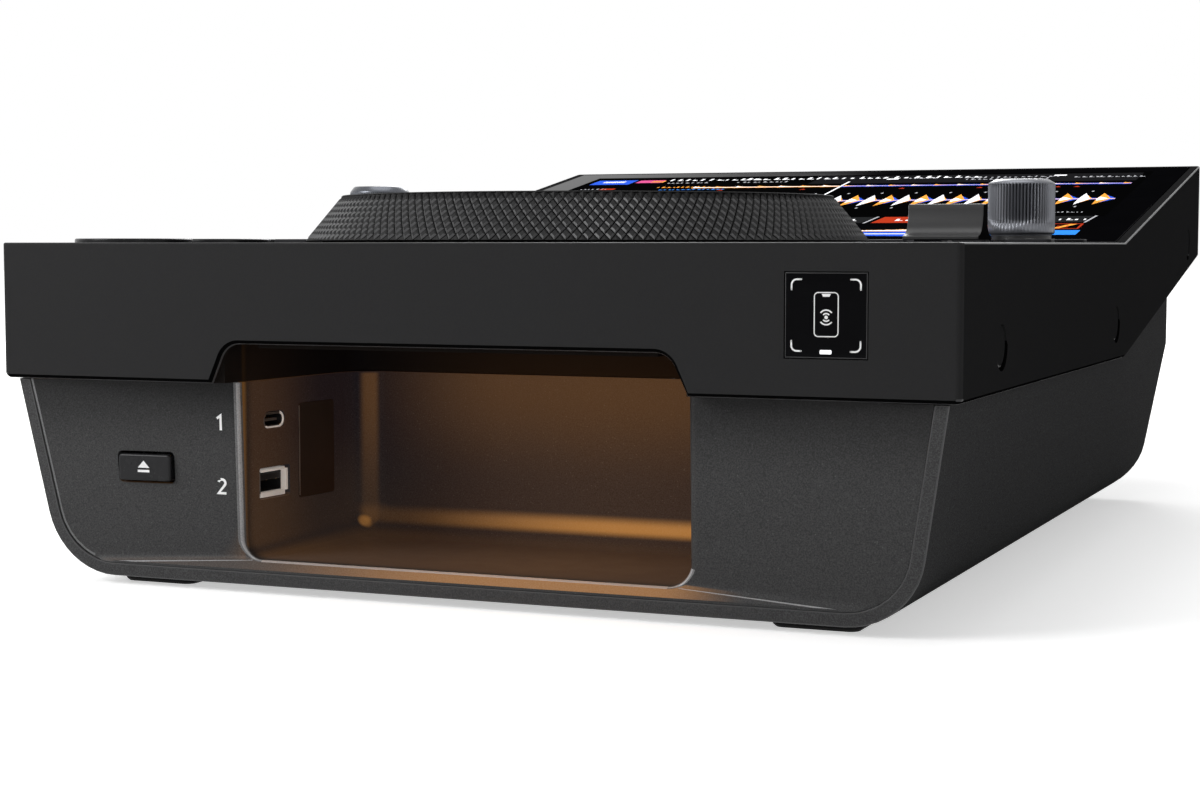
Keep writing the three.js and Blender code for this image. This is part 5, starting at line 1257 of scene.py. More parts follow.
class PLAYER_OT_front_marks(bpy.types.Operator):
    """Build the eject key with its sign, and the two numerals beside the sockets"""

    bl_idname = "player.front_marks"
    bl_label = "Eject key and numerals"

    def execute(self, context):
        mesh = from_node("eject_key")
        nose = min(vert.co.y for vert in mesh.verts) + 3.0
        edges = [edge for edge in sharp_edges(mesh, 40) if middle_of(edge).y < nose]
        bevel(mesh, [edge for edge in edges if any(face.normal.y < -0.9 for face in edge.link_faces)], 0.9, 3)
        piece("eject_button", mesh, ("hard key",), "eject_key")
        x, _, z = Box("eject_key").centre
        turn = math.atan2(panel_y(x + 1, z) - panel_y(x, z), 1)
        upright = Matrix.Rotation(turn, 4, "Z") @ Matrix.Rotation(math.pi / 2, 4, "X")
        sign = Relief(Matrix.Translation((x, panel_y(x, z), z)) @ upright)
        low, top = 1.9, 2.03
        sign.prism([(-2.2, -0.1), (2.2, -0.1), (0, 2.3)], low, top)
        sign.block(-2.2, 2.2, -1.6, -0.8, low, top)
        piece("eject_sign", sign.mesh, ("white mark",), rider="eject_key")
        for text, z in (("1", 56.25), ("2", 34.95)):
            made = Relief(panel_plane(-85.9, z))
            made.numeral(text, 0, 0, 5.3, -0.05, 0.04)
            piece(f"numeral_{text}", made.mesh, ("white mark",))
        return {"FINISHED"}


class PLAYER_OT_contact_window(bpy.types.Operator):
    """Build the contactless window with its corner marks and its sign of a telephone"""

    bl_idname = "player.contact_window"
    bl_label = "Contactless window"

    def execute(self, context):
        mesh = from_node("tap_window")
        front = min(vert.co.y for vert in mesh.verts)
        bevel(mesh, [edge for edge in sharp_edges(mesh) if abs(middle_of(edge).y - front) < 0.05], 0.3, 2, 1)
        for vert in mesh.verts:
            vert.co.y += 0.1
        piece("window_pane", mesh, ("pane glass", "pane rim"), "tap_window")
        centre = Box("tap_window").centre
        place = Matrix.Translation((centre.x, front + 0.1, centre.z))
        made = Relief(place @ Matrix.Rotation(math.pi / 2, 4, "X"))
        for x_sign, y_sign, quarter in ((-1, -1, 180), (-1, 1, 90), (1, -1, 270), (1, 1, 0)):
            self.corner(made, x_sign, y_sign, quarter)
        body, hole = (
            rounded_outline(7.4 - cut, 12.9 - cut, 1.3 - cut / 2, 6, (0.1, 0.25)) for cut in (0, 0.6)
        )
        low, top = PRINT_LOW, PRINT_TOP
        section = [[(*a, low), (*a, top), (*b, top), (*b, low)] for a, b in zip(body, hole)]
        made.loops(section, 0, around=True)
        made.prism([(-1.25, 6.2), (-0.9, 5.35), (1.1, 5.35), (1.45, 6.2)], low, top)
        waves = (0.1, -0.55)
        for radius in (1.1, 2.1):
            for start in (38, 218):
                made.arc(waves, radius - 0.2, radius + 0.2, start, start + 104, low, top)
        made.disc(waves, 0.52, low, top, steps=20)
        made.plate(3.5, 1.2, 0.3, low, top, 1, centre=(0, -10.5))
        piece("window_sign", made.mesh, ("white mark", "lit white"))
        return {"FINISHED"}

    def corner(self, made, x_sign, y_sign, quarter):
        """A round corner mark with an arm along each side."""
        reach, radius, arm, half = 10.3, 1.6, 1.3, 0.25
        bend_at, tip = reach - radius, reach - radius - arm
        low, top = PRINT_LOW, PRINT_TOP
        middle = (x_sign * bend_at, y_sign * bend_at)
        made.arc(middle, radius - half, radius + half, quarter, quarter + 90, low, top, steps=8)
        made.bar(x_sign * (tip + arm / 2), y_sign * reach, arm, 2 * half, low, top)
        made.disc((x_sign * tip, y_sign * reach), half, low, top, steps=12)
        made.bar(x_sign * reach, y_sign * (tip + arm / 2), 2 * half, arm, low, top)
        made.disc((x_sign * reach, y_sign * tip), half, low, top, steps=12)


class PLAYER_OT_side_plugs(bpy.types.Operator):
    """Build the round plugs in the sides"""

    bl_idname = "player.side_plugs"
    bl_label = "Side plugs"

    def execute(self, context):
        for side, sign in (("left", -1), ("right", 1)):
            for number in (1, 2, 3):
                node = f"{side}_plug_{number}"
                box = Box(node)
                face = Vector((box.high.x if sign > 0 else box.low.x, *box.centre.yz))
                made = Relief(Matrix.Translation(face) @ Matrix.Rotation(sign * math.pi / 2, 4, "Y"))
                radius = (box.high.y - box.low.y) / 2
                profile = ((0, -1.3), (0, -0.75), (0.25, -0.5), (1.2, -0.42), (radius - 0.6, -0.4))
                made.turned([(radius - shrink, height) for shrink, height in profile], steps=56)
                piece(f"{side}_side_plug_{number}", made.mesh, ("satin case",), node)
        return {"FINISHED"}


class Picture(Relief):
    """The lit picture of wave forms, fields and small dashes on the sloping display."""

    BASE = -0.02

    def __init__(self):
        super().__init__(SLOPE)
        self.draw = random.Random(11)

    def panel(self, x0, x1, y0, y1, top, number):
        self.block(x0, x1, y0, y1, self.BASE, top, number)

    def sheet(self, outline, top, number):
        self.prism(outline, self.BASE, top, number)

    def bands(self, columns, step):
        """Three ribbons, each a step higher than the one before."""
        for level, number in enumerate((BLUE, ORANGE, WHITE)):
            self.ribbon(columns[number], self.BASE, 0.02 + step * level, number)

    def small_print(self, x, y, count, tall, number):
        """A line of small upright dashes, which stands for unreadable small print."""
        for _ in range(count):
            wide = tall * self.draw.uniform(0.16, 0.3)
            high = tall * self.draw.choice((0.55, 0.7, 1.0))
            self.panel(x, x + wide, y, y + high, 0.03, number)
            if self.draw.random() < 0.6:
                self.panel(x, x + wide * 2.4, y, y + tall * 0.2, 0.03, number)
            x += wide * 2.4 + tall * self.draw.uniform(0.12, 0.3)

    def fields(self):
        self.panel(-145, 145, 66, 201, 0.004, BLACK)
        self.panel(-20, 141, 172, 197, 0.01, DIM)
        for x0, x1, y0, y1, number in (
            (-141, -119, 177, 192, BLUE), (-136, -124, 183, 188, WHITE), (-117, -103, 182, 191, PINK),
            (-109, -102, 183, 189, ORANGE), (-128, -120, 159, 163, RED), (99, 105, 190, 193.5, WHITE),
            (17, 23, 184, 187, WHITE),
        ):
            self.panel(x0, x1, y0, y1, 0.025, number)
        for line in (
            (-100, 188, 12, 5.5, WHITE), (-58, 188, 26, 6.5, WHITE), (-98, 179, 9, 3.6, PALE),
            (-60, 179, 10, 3.6, PALE), (28, 186, 5, 4.0, PALE), (56, 186, 9, 4.0, PALE),
            (58, 180, 7, 3.6, PALE), (84, 187, 6, 4.0, PALE), (86, 181, 5, 3.6, PALE),
            (110, 184, 4, 4.0, PALE), (122, 184, 7, 4.0, PALE), (-98, 164, 11, 3.6, ORANGE),
            (-94, 156, 14, 3.2, SKY), (-139, 160, 7, 3.0, PALE), (92, 77, 8, 3.2, SKY),
            (117, 77, 9, 2.6, PALE),
        ):
            self.small_print(*line)

    def overview(self):
        """The whole track as one thin wave form, of which the left part has been played."""
        columns = {BLUE: [], ORANGE: [], WHITE: []}
        line = 163
        for i in range(620):
            x = -78 + i * 0.353
            phase = (x + 78) % 11.3 / 11.3
            spike = math.exp(-phase * 4.5) * self.draw.uniform(0.85, 1.1)
            played = x < -1
            blue = (0.4, 0.4) if played else (2.0 + spike, 1.6 + 1.5 * spike)
            orange = (1.6, 1.2) if played else (0.3, 0.3)
            white = (0.5, 0.6) if played else (0.1, 0.1)
            columns[BLUE].append((x, line - blue[0], line + blue[1]))
            columns[ORANGE].append((x, line - orange[0] - spike, line + orange[1] + 3.6 * spike))
            columns[WHITE].append((x, line - white[0], line + white[1] + 3.0 * spike * (i % 64 < 32)))
        self.bands(columns, 0.012)
        for x in (-60, -17, 33, 71, 93, 108, 117):
            self.sheet([(x - 1.6, 152.5), (x + 1.6, 152.5), (x, 155.5)], 0.03, RED)

    def waves(self):
        """The large wave form: sharp starts that fall away, mirrored about a line."""
        middle, beat, step = 115.6, 8.3, 0.34
        columns = {BLUE: [], ORANGE: [], WHITE: []}
        for i in range(int(282 / step) + 1):
            x = -141 + i * step
            count, phase = divmod((x + 141) / beat, 1)
            even = int(count) % 2 == 0
            rise = min(1.0, phase / 0.05)
            jitter = self.draw.uniform(0.9, 1.0)
            for number, tall, length, base in (
                (BLUE, 8.0 if even else 16.0, 1.0, 1.9),
                (ORANGE, 17.0 if even else 19.0, 0.72, 0.8),
                (WHITE, 19.0 if even else 7.0, 0.6, 0.25),
            ):
                half = max(tall * rise * jitter * max(0.0, 1 - phase / length) ** 0.9, base)
                columns[number].append((x, middle - half, middle + half))
        self.bands(columns, 0.014)
        for i in range(17):
            x = -139 + i * beat * 2
            for y in (92, 137):
                self.panel(x, x + 1.0, y, y + 2.5, 0.02, PALE)

    def lower_rows(self):
        """The row of slanted fields, the outlined field and the lower wave form."""
        edges = (-141, -104, -67, -30, 7, 45, 82, 112, 141)
        for i, (x0, x1) in enumerate(zip(edges, edges[1:])):
            field = [(x0 + 1.2, 51), (x1 - 3.2, 51), (x1 - 1.2, 67), (x0 + 3.2, 67)]
            self.sheet(field, 0.012, RED if i == 5 else GREY)
            self.sheet([(x1 - 2.4, 50), (x1 - 1.4, 50), (x1 + 0.6, 68), (x1 - 0.4, 68)], 0.03, PALE)
            self.small_print((x0 + x1) / 2 - 8, 56.5, 6, 4.8, WHITE)
        frame_line = [(100, 34.6), (139, 34.6), (139, 46.8), (100, 46.8)]
        self.stroke(frame_line, 1.0, self.BASE, 0.03, RED, closed=True)
        self.sheet([(128, 35.5), (131, 35.5), (137, 46), (134, 46)], 0.03, ORANGE)
        self.small_print(104, 38, 9, 5.0, RED)
        self.panel(92, 141, 19.5, 30.5, 0.02, SKY)
        self.small_print(108, 23, 6, 3.6, WHITE)
        columns = {BLUE: [], ORANGE: [], WHITE: []}
        for i in range(720):
            x = -141 + i * 0.322
            tall = 1.6 + 1.6 * self.draw.random() + 1.0 * math.sin(i * 0.05)
            columns[BLUE].append((x, 18 - tall * 0.4, 27 + tall * 0.4))
            columns[ORANGE].append((x, 28.6, 30.0 + tall * 1.2))
            columns[WHITE].append((x, 29.4, 30.0 + tall * 0.8))
        self.bands(columns, 0.012)
        self.panel(-141, 90, 21.5, 23.0, 0.055, WHITE)


class PLAYER_OT_display(bpy.types.Operator):
    """Build the sloping glass and the lit picture of wave forms and blocks"""

    bl_idname = "player.display"
    bl_label = "Display"

    def execute(self, context):
        mesh = from_node("display_glass")
        flat = SLOPE.inverted()
        on_slope = [e for e in sharp_edges(mesh) if all(abs((flat @ vert.co).z) < 0.05 for vert in e.verts)]
        bevel(mesh, on_slope, 0.3, 2)
        piece("display_cover", mesh, ("black glass",), "display_glass")
        repaint("screen back", "display_panel")
        made = Picture()
        made.fields()
        made.overview()
        made.waves()
        made.panel(-0.7, 0.3, 132, 178, 0.06, WHITE)
        made.lower_rows()
        piece("screen_picture", made.mesh, [f"screen {name}" for name in SCREEN_COLOURS])
        return {"FINISHED"}


class PLAYER_OT_jog_wheel(bpy.types.Operator):
    """Build the jog wheel: the knurled ring, the plate and the round display"""

    bl_idname = "player.jog_wheel"
    bl_label = "Jog wheel"

    SLANT = 13.5
    BASE = Matrix.Translation((JOG.centre.x, JOG.centre.y, DECK))

    def execute(self, context):
        self.knurled_ring(context.scene.player_sizes)
        self.plate()
        self.round_display()
        repaint("screw steel", "jog_shaft")
        repaint("socket plastic", "jog_base")
        return {"FINISHED"}

    def knurled_ring(self, sizes):
        """Rows of pyramids with cut tips up the leaning side, then the turned inner side."""
        sides, rows, depth = 2 * sizes.knurl_count, sizes.knurl_rows, sizes.knurl_depth / MM
        outer, foot, top = JOG.radius, JOG.low.z - DECK, JOG.high.z - DECK
        slant = Vector((-self.SLANT, top - foot)).normalized()
        start, end = 0.6, math.hypot(self.SLANT, top - foot) - 0.45
        mesh = bmesh.new()

        def spot(i, j, sunk):
            along = start + (end - start) * j / rows
            radius = outer + slant.x * along - slant.y * sunk
            turn = 2 * math.pi * i / sides
            height = foot + slant.y * along + slant.x * sunk
            return mesh.verts.new(self.BASE @ Vector((radius * math.cos(turn), radius * math.sin(turn), height)))

        def face(corners, number=0):
            mesh.faces.new(corners).material_index = number

        grid = {}
        for j in range(rows + 1):
            for i in range(sides):
                even = (i + j) % 2 == 0
                if even or j in (0, rows):
                    grid[i, j] = spot(i, j, depth if even else 0.0)
        for j in range(rows + 1):
            for i in range((j + 1) % 2, sides, 2):
                near, far = grid[(i - 1) % sides, j], grid[(i + 1) % sides, j]
                if j in (0, rows):
                    tip = grid[i, 1 if j == 0 else j - 1]
                    face((near, grid[i, j], tip))
                    face((grid[i, j], far, tip))
                    continue
                rings = [(near, grid[i, j - 1], far, grid[i, j + 1])]
                for share, sunk in ((0.9, depth * 0.7), (0.52, 0.0)):
                    corners = ((i - share, j), (i, j - share), (i + share, j), (i, j + share))
                    rings.append([spot(a, b, sunk) for a, b in corners])
                # The groove walls are painted dark as shade; each diamond's two lower bevels lighter as
                # highlights.
                for level, (low, high) in enumerate(zip(rings, rings[1:])):
                    for k in range(4):
                        n = (k + 1) % 4
                        number = 2 if level == 0 else 1 if k < 2 else 0
                        face((low[k], low[n], high[n], high[k]), number)
                face(rings[-1])
        rim = outer - self.SLANT
        inner = (
            (rim + 0.3, top - 0.3), (rim, top), (rim - 3.2, top), (rim - 3.6, top - 0.25), (rim - 6.4, top - 3.0),
            (rim - 6.5, top - 5.5), (rim - 10.5, top - 5.5), (rim - 10.5, top - 9.3), (rim - 6.5, top - 9.3),
            (outer - 9.0, foot), (outer - 9.0, 0.15), (outer - 6.0, 0.15), (outer - 6.0, foot),
            (outer - 0.9, foot), (outer - 0.35, foot + 0.25),
        )
        loops = [[grid[i, rows] for i in range(sides)]]
        loops += [[mesh.verts.new(self.BASE @ point) for point in ring(*place, sides)] for place in inner]
        loops.append([grid[i, 0] for i in range(sides)])
        for low, high in zip(loops, loops[1:]):
            for i in range(sides):
                j = (i + 1) % sides
                face((low[i], low[j], high[j], high[i]))
        finishes = ("knurled ring", "knurl edge", "knurl groove")
        piece("knurled_ring", mesh, finishes, "jog_ring", sharp=24.0)

    def plate(self):
        box, pane = Box("jog_top_plate"), Box("jog_window")
        radius, top, foot = box.radius, box.high.z - DECK, box.low.z - DECK
        window, floor = pane.radius + 0.3, pane.low.z - DECK - 0.3
        made = Relief(self.BASE)
        steps = 192
        outside = ((0, foot), (0, top - 0.5), (0.4, top - 0.06), (2.2, top - 0.06), (2.6, top - 0.45))
        outside += ((3.4, top - 0.45), (3.8, top - 0.06), (20, top - 0.25))
        inside = ((8, top - 0.3), (1.2, top - 0.06), (0, top - 0.3), (0, floor), (-3, foot))
        profile = [(radius - inset, height) for inset, height in outside]
        profile += [(window + reach, height) for reach, height in inside] + [(radius - 3, foot)]
        made.turned(profile, 0, steps, around=True)
        made.turned([(window - 2.9, foot + 0.02), (window - 2.9, floor - 0.02)], 0, 64)
        trims = (radius - 3.35, radius - 2.65, top - 0.3), (window + 0.15, window + 1.0, top - 0.02)
        for near, far, level in trims:
            trim = [(far, level - 0.4), (far, level), (near, level), (near, level - 0.4)]
            made.turned(trim, 1, steps, around=True)
        piece("jog_cover", made.mesh, ("jog plate", "jog trim"), "jog_top_plate")

    def round_display(self):
        box = Box("jog_window")
        radius, top, foot = box.radius, box.high.z - DECK, box.low.z - DECK
        made = Relief(self.BASE)
        made.turned([(radius, foot), (radius, top - 0.35), (radius - 0.35, top - 0.1), (1.0, top - 0.1)], 0, 96)

        def band(inner, outer, start, end, number, steps, height=0.02):
            made.arc((0, 0), inner, outer, start, end, top - 0.2, top - 0.1 + height, number, steps)

        band(30.2, 30.9, 0, 360, 1, 96)
        for i in range(60):
            inner, half = (27.0, 0.75) if i % 5 == 0 else (28.2, 0.4)
            band(inner, 29.4, 6 * i - half, 6 * i + half, 1, 2)
        band(21.5, 24.5, 78, 102, 2, 12, 0.03)
        band(18.6, 19.2, 0, 360, 3, 72)
        band(0.6, 4.2, 0, 360, 3, 48)
        finishes = ("black glass", "screen white", "screen orange", "screen sky")
        piece("jog_display", made.mesh, finishes, "jog_window")


def key_top(node, edge=0.35):
    """A key's solid with a soft upper edge, and the plane on its top."""
    mesh = from_node(node)
    top = max(vert.co.z for vert in mesh.verts)
    bevel(mesh, [item for item in sharp_edges(mesh) if abs(middle_of(item).z - top) < 0.02], edge, 3)
    return Relief(Box(node).plane(top), mesh)


def arrow(made, x, y, size, way=1):
    """A sign that points left or right."""
    back, tip = x - way * size * 0.45, x + way * size * 0.45
    points = [(back, y - size / 2), (tip, y), (back, y + size / 2)]
    made.prism(points if way > 0 else points[::-1], MARK_LOW, MARK_TOP, 1)


def bar(made, x, y, width, height, number=1):
    made.bar(x, y, width, height, MARK_LOW, MARK_TOP, number)


def loop(made, x, inner, outer, start, end, steps):
    made.arc((x, 0), inner, outer, start, end, MARK_LOW, MARK_TOP, 1, steps)


def bracket(made, way):
    """A square bracket with a lit line above it."""
    bar(made, 1.6 * way, 0, 0.7, 4.0)
    bar(made, 0.6 * way, 1.65, 1.6, 0.7)
    bar(made, 0.6 * way, -1.65, 1.6, 0.7)
    bar(made, 0, 4.0, 7.0, 0.7, 2)


KEY_SIGNS = {
    "track_back_key": ((bar, -2.9, 0, 0.7, 3.4), (arrow, -0.9, 0, 3.4, -1), (arrow, 2.0, 0, 3.4, -1)),
    "track_next_key": ((bar, 2.9, 0, 0.7, 3.4), (arrow, 0.9, 0, 3.4), (arrow, -2.0, 0, 3.4)),
    "search_back_key": ((arrow, -1.5, 0, 3.4, -1), (arrow, 1.5, 0, 3.4, -1)),
    "search_next_key": ((arrow, -1.5, 0, 3.4), (arrow, 1.5, 0, 3.4)),
    "loop_in_key": ((bracket, -1),),
    "loop_out_key": ((bracket, 1),),
    "back_key": (
        (loop, 1.2, 1.3, 1.9, -90, 90, 16), (bar, -0.4, 1.6, 3.2, 0.6), (bar, -0.2, -1.6, 2.8, 0.6),
        (arrow, -2.6, 1.6, 2.2, -1),
    ),
    "tempo_range_key": ((arrow, -2.6, 0, 2.4, -1), (arrow, 2.6, 0, 2.4), (bar, 0, 0, 3.4, 0.6)),
    "tempo_reset_key": ((loop, 0, 1.1, 1.75, 0, 360, 28),),
    "play_button": ((arrow, -2.4, 0, 6.0), (bar, 2.0, 0, 1.3, 6.0), (bar, 4.6, 0, 1.3, 6.0)),
    "cue_button": ((loop, 0, 2.4, 3.3, 0, 360, 40), (bar, 0, 0, 1.2, 3.0)),
}


def add_signs(made, node):
    for shape, *numbers in KEY_SIGNS[node]:
        shape(made, *numbers)


class PLAYER_OT_round_keys(bpy.types.Operator):
    """Build the play and cue buttons with their lit rings"""

    bl_idname = "player.round_keys"
    bl_label = "Play and cue buttons"

    def execute(self, context):
        for node, light in (("play_button", "play light"), ("cue_button", "cue light")):
            box = Box(node)
            radius, deep = box.radius - 1.0, box.low.z - box.high.z
            made = Relief(box.plane(box.high.z))
            profile = [(radius + 0.95, deep), (radius + 0.95, deep + 1.1), (radius, deep + 1.2), (radius, -0.55)]
            profile += [(radius - 0.15, -0.2), (radius - 0.5, 0), (radius - 2.2, 0), (radius - 2.6, -0.3)]
            profile += [(radius - 3.6, -0.3), (radius - 4.0, -0.02), (radius - 9, -0.25), (1.0, -0.3)]
            made.turned(profile, 0, 96)
            made.arc((0, 0), radius - 3.6, radius - 2.6, 0, 360, -0.6, -0.12, 2, 96)
            made.plane = made.plane @ Matrix.Translation((0, 0, -0.27))
            add_signs(made, node)
            name = node.replace("button", "key_top")
            piece(name, made.mesh, ("hard key", "white mark", light), node)
        return {"FINISHED"}


class PLAYER_OT_small_keys(bpy.types.Operator):
    """Build the small keys with their signs"""

    bl_idname = "player.small_keys"
    bl_label = "Small keys"

    def execute(self, context):
        for node in KEY_SIGNS:
            if node.endswith("_key"):
                made = key_top(node)
                add_signs(made, node)
                piece(f"{node}_top", made.mesh, ("soft key", "white mark", "cue light"), node)
        return {"FINISHED"}


class PLAYER_OT_pads(bpy.types.Operator):
    """Build the eight pads, each with a lit bar"""

    bl_idname = "player.pads"
    bl_label = "Pads"

    def execute(self, context):
        for number in range(1, 9):
            node = f"pad_{number}"
            made = key_top(node, 0.5)
            bar(made, 0, 4.9, 11.5, 1.0, 2)
            made.numeral(str(number), 0, -3.9, 2.6, MARK_LOW, MARK_TOP, 1)
            light = "screen sky" if number % 2 else "cue light"
            piece(f"{node}_top", made.mesh, ("soft key", "grey mark", light), node)
        return {"FINISHED"}


class PLAYER_OT_knobs(bpy.types.Operator):
    """Build the ribbed browse knob and the knurled speed dial"""

    bl_idname = "player.knobs"
    bl_label = "Knobs"

    def execute(self, context):
        sizes = context.scene.player_sizes
        self.browse(sizes.rib_count, sizes.rib_depth / MM)
        self.dial(sizes.dial_rib_count, 0.3)
        repaint("socket plastic", "browse_encoder", "speed_pot")
        return {"FINISHED"}

    def ribbed(self, made, radius, levels, count, depth, fade, per):
        """Rings whose radius follows ribs. The fade gives the ribs' share at a level."""
        loops = []
        for shrink, height in levels:
            points = []
            for i in range(count * per):
                turn = 2 * math.pi * i / (count * per)
                groove = 1 - abs(2 * (i % per) / per - 1)
                reach = radius - shrink - depth * fade(height) * groove**0.8
                points.append((reach * math.cos(turn), reach * math.sin(turn), height))
            loops.append(points)
        made.loops(loops)

    def browse(self, count, depth):
        box = Box("browse_knob")
        radius, centre = box.radius, box.centre
        made = Relief(box.plane(DECK))
        foot, top = 2.6, box.high.z - DECK
        end, start = foot + (top - foot) * 0.14, top - 2.1

        def fade(height):
            return max(0.0, min(1.0, (height - end) / 3.0)) if height < start + 0.1 else 0.0

        levels = [(1.6, foot), (1.1, foot), (1.0, foot + 0.55), (0.35, foot + 0.75), (0.0, foot + 1.3)]
        levels += [(0.0, end + (start - end) * i / 10) for i in range(11)]
        levels += [(0.12, start + 0.35), (0.3, start + 0.8), (1.35, top - 0.75), (2.2, top - 0.18), (2.9, top)]
        levels += [(9.5, top - 0.12), (11.8, top - 0.14)]
        self.ribbed(made, radius, levels, count, depth, fade, 6)
        # Faces deep in the ribs' grooves are painted darker, as shade.
        for face in made.mesh.faces:
            spot = face.calc_center_median()
            away, height = math.hypot(spot.x - centre.x, spot.y - centre.y), spot.z - DECK
            if end + 1.0 < height < start and away < radius - 0.6 * depth:
                face.material_index = 3
        made.turned([(3.0, box.low.z - DECK), (3.0, foot + 0.5)], 1, 32)
        made.turned([(radius - 2.2, 0.7), (radius - 1.2, 0.9), (radius - 1.2, foot + 0.1)], 2, 72)
        finishes = ("knob metal", "screw steel", "knob foot", "knob groove")
        piece("browse_grip", made.mesh, finishes, "browse_knob", sharp=50.0)

    def dial(self, count, depth):
        box = Box("speed_dial")
        made = Relief(box.plane(DECK))
        foot, top = 0.8, box.high.z - DECK
        ribs, start = foot + 1.5, top - 3.0

        def fade(height):
            return 1.0 if foot + 1.2 < height < start + 0.1 else 0.0

        levels = [(0.9, foot), (0.35, foot), (0.1, foot + 0.5), (0.1, foot + 1.1), (0.1, ribs)]
        levels += [(0.1, ribs + (start - ribs) * i / 3) for i in range(1, 4)]
        levels += [(0.15, start + 0.3), (0.15, start + 0.6), (0.45, start + 1.1), (1.7, top - 0.3), (2.3, top)]
        levels += [(9.0, top - 0.35), (11.8, top - 0.4)]
        self.ribbed(made, box.radius, levels, count, depth, fade, 4)
        made.block(-0.35, 0.35, 3.5, 9.5, top - 0.5, top - 0.1, 2)
        made.turned([(3.0, box.low.z - DECK), (3.0, foot + 0.5)], 1, 32)
        finishes = ("dial metal", "screw steel", "white mark")
        piece("dial_grip", made.mesh, finishes, "speed_dial", sharp=50.0)


class PLAYER_OT_fader(bpy.types.Operator):
    """Build the tempo fader's cap, its slot's lining and the direction lever"""

    bl_idname = "player.fader"
    bl_label = "Fader and lever"

    def execute(self, context):
        box = Box("tempo_cap")
        low, high, centre = box.low, box.high, box.centre
        foot, top, half = DECK + 0.9, high.z, (high.y - low.y) / 2
        toe, ridge = foot + 1.4, top - 0.5
        profile = [(half - 0.35, foot), (half, foot + 0.3), (half, foot + 1.1), (half - 0.4, toe)]
        profile += [bend((half - 0.4, toe), (2.6, toe + 0.4), (2.5, ridge), i / 14) for i in range(1, 15)]
        profile += [(2.2, top - 0.1), (1.8, top)]
        outline = [(-y, z) for y, z in profile] + profile[::-1]
        made = Relief()
        ends = ((low.x, 0.35), (low.x + 0.35, 0.0), (high.x - 0.35, 0.0), (high.x, 0.35))
        made.loops([
            [(x, centre.y + y * (1 - shrink / half), foot + (z - foot) * (1 - shrink / 20)) for y, z in outline]
            for x, shrink in ends
        ])
        # The cap's two end faces are painted darker, as shade.
        for face in made.mesh.faces:
            if len(face.verts) > 4:
                face.material_index = 3
        made.block(low.x + 1.0, high.x - 1.0, centre.y - 0.35, centre.y + 0.35, top - 0.2, top, 1)
        made.bar(centre.x, centre.y, 1.8, 6.0, low.z, foot + 0.4, 2)
        piece("fader_grip", made.mesh, ("fader cap", "white mark", "screw steel", "fader end"), "tempo_cap")
        lever = from_node("direction_lever")
        bevel(lever, sharp_edges(lever, 50), 0.6, 3)
        piece("lever_grip", lever, ("hard key",), "direction_lever")
        repaint("socket plastic", "tempo_rail", "lever_bracket")
        return {"FINISHED"}


class PLAYER_OT_deck_marks(bpy.types.Operator):
    """Print the fader's scale and the plain signs on the deck"""

    bl_idname = "player.deck_marks"
    bl_label = "Deck marks"

    def execute(self, context):
        x, y, _ = Box("tempo_cap").centre
        deck = Matrix.Translation((0, 0, DECK))
        made = Relief(deck)
        low, top = -0.05, 0.03
        for i in range(21):
            reach, width = (3.4, 0.45) if i % 5 == 0 else (2.0, 0.3)
            for side in (-1, 1):
                made.bar(x + side * (14.4 + reach / 2), y - 50 + 5 * i, reach, width, low, top)
        for node in ("play_button", "cue_button"):
            box = Box(node)
            made.arc(box.centre.xy, box.radius + 0.6, box.radius + 0.9, 0, 360, low, top, 1, 96)
        lever = Box("direction_lever").centre
        for way in (1, -1):
            points = [(lever.x - 1.4, lever.y + 13.2 * way), (lever.x + 1.4, lever.y + 13.2 * way)]
            points.insert(2 if way > 0 else 1, (lever.x, lever.y + 15.6 * way))
            made.prism(points, low, top)
        dial = Box("speed_dial").centre.xy
        for i in range(11):
            turn = -50 + 28 * i
            made.arc(dial, 14.2, 15.6 if i % 5 else 16.4, turn - 0.9, turn + 0.9, low, top, 0, 1)
        piece("deck_print", made.mesh, ("white mark", "grey mark"))
        zero = Relief(deck)
        zero.numeral("0", x - 20.5, y, 2.8, low, top)
        piece("scale_zero", zero.mesh, ("white mark",))
        return {"FINISHED"}


def add_screws(made, places, level, radius):
    """Low domed screw heads with a cross recess."""
    profile = ((1, -0.3), (1, 0.25), (0.8, 0.7), (0.4, 0.88), (0.2 / radius, 0.92))
    for place in places:
        made.turned([(radius * share, level + height) for share, height in profile], 0, 28, place)
        for width, height in ((1.04, 0.24), (0.24, 1.04)):
            made.bar(*place, radius * width, radius * height, level + 0.3, level + 0.95, 1)


def meet(outline, ray):
    """How far along a ray from the middle an outline lies."""
    reaches = []
    for (ax, ay), (bx, by) in zip(outline, outline[1:] + outline[:1]):
        run_x, run_y = bx - ax, by - ay
        cross = ray.x * run_y - ray.y * run_x
        if abs(cross) < 1e-9:
            continue
        reach = (ax * run_y - ay * run_x) / cross
        share = (ax * ray.y - ay * ray.x) / cross
        if reach > 0 and -1e-6 <= share <= 1 + 1e-6:
            reaches.append(reach)
    return min(reaches)


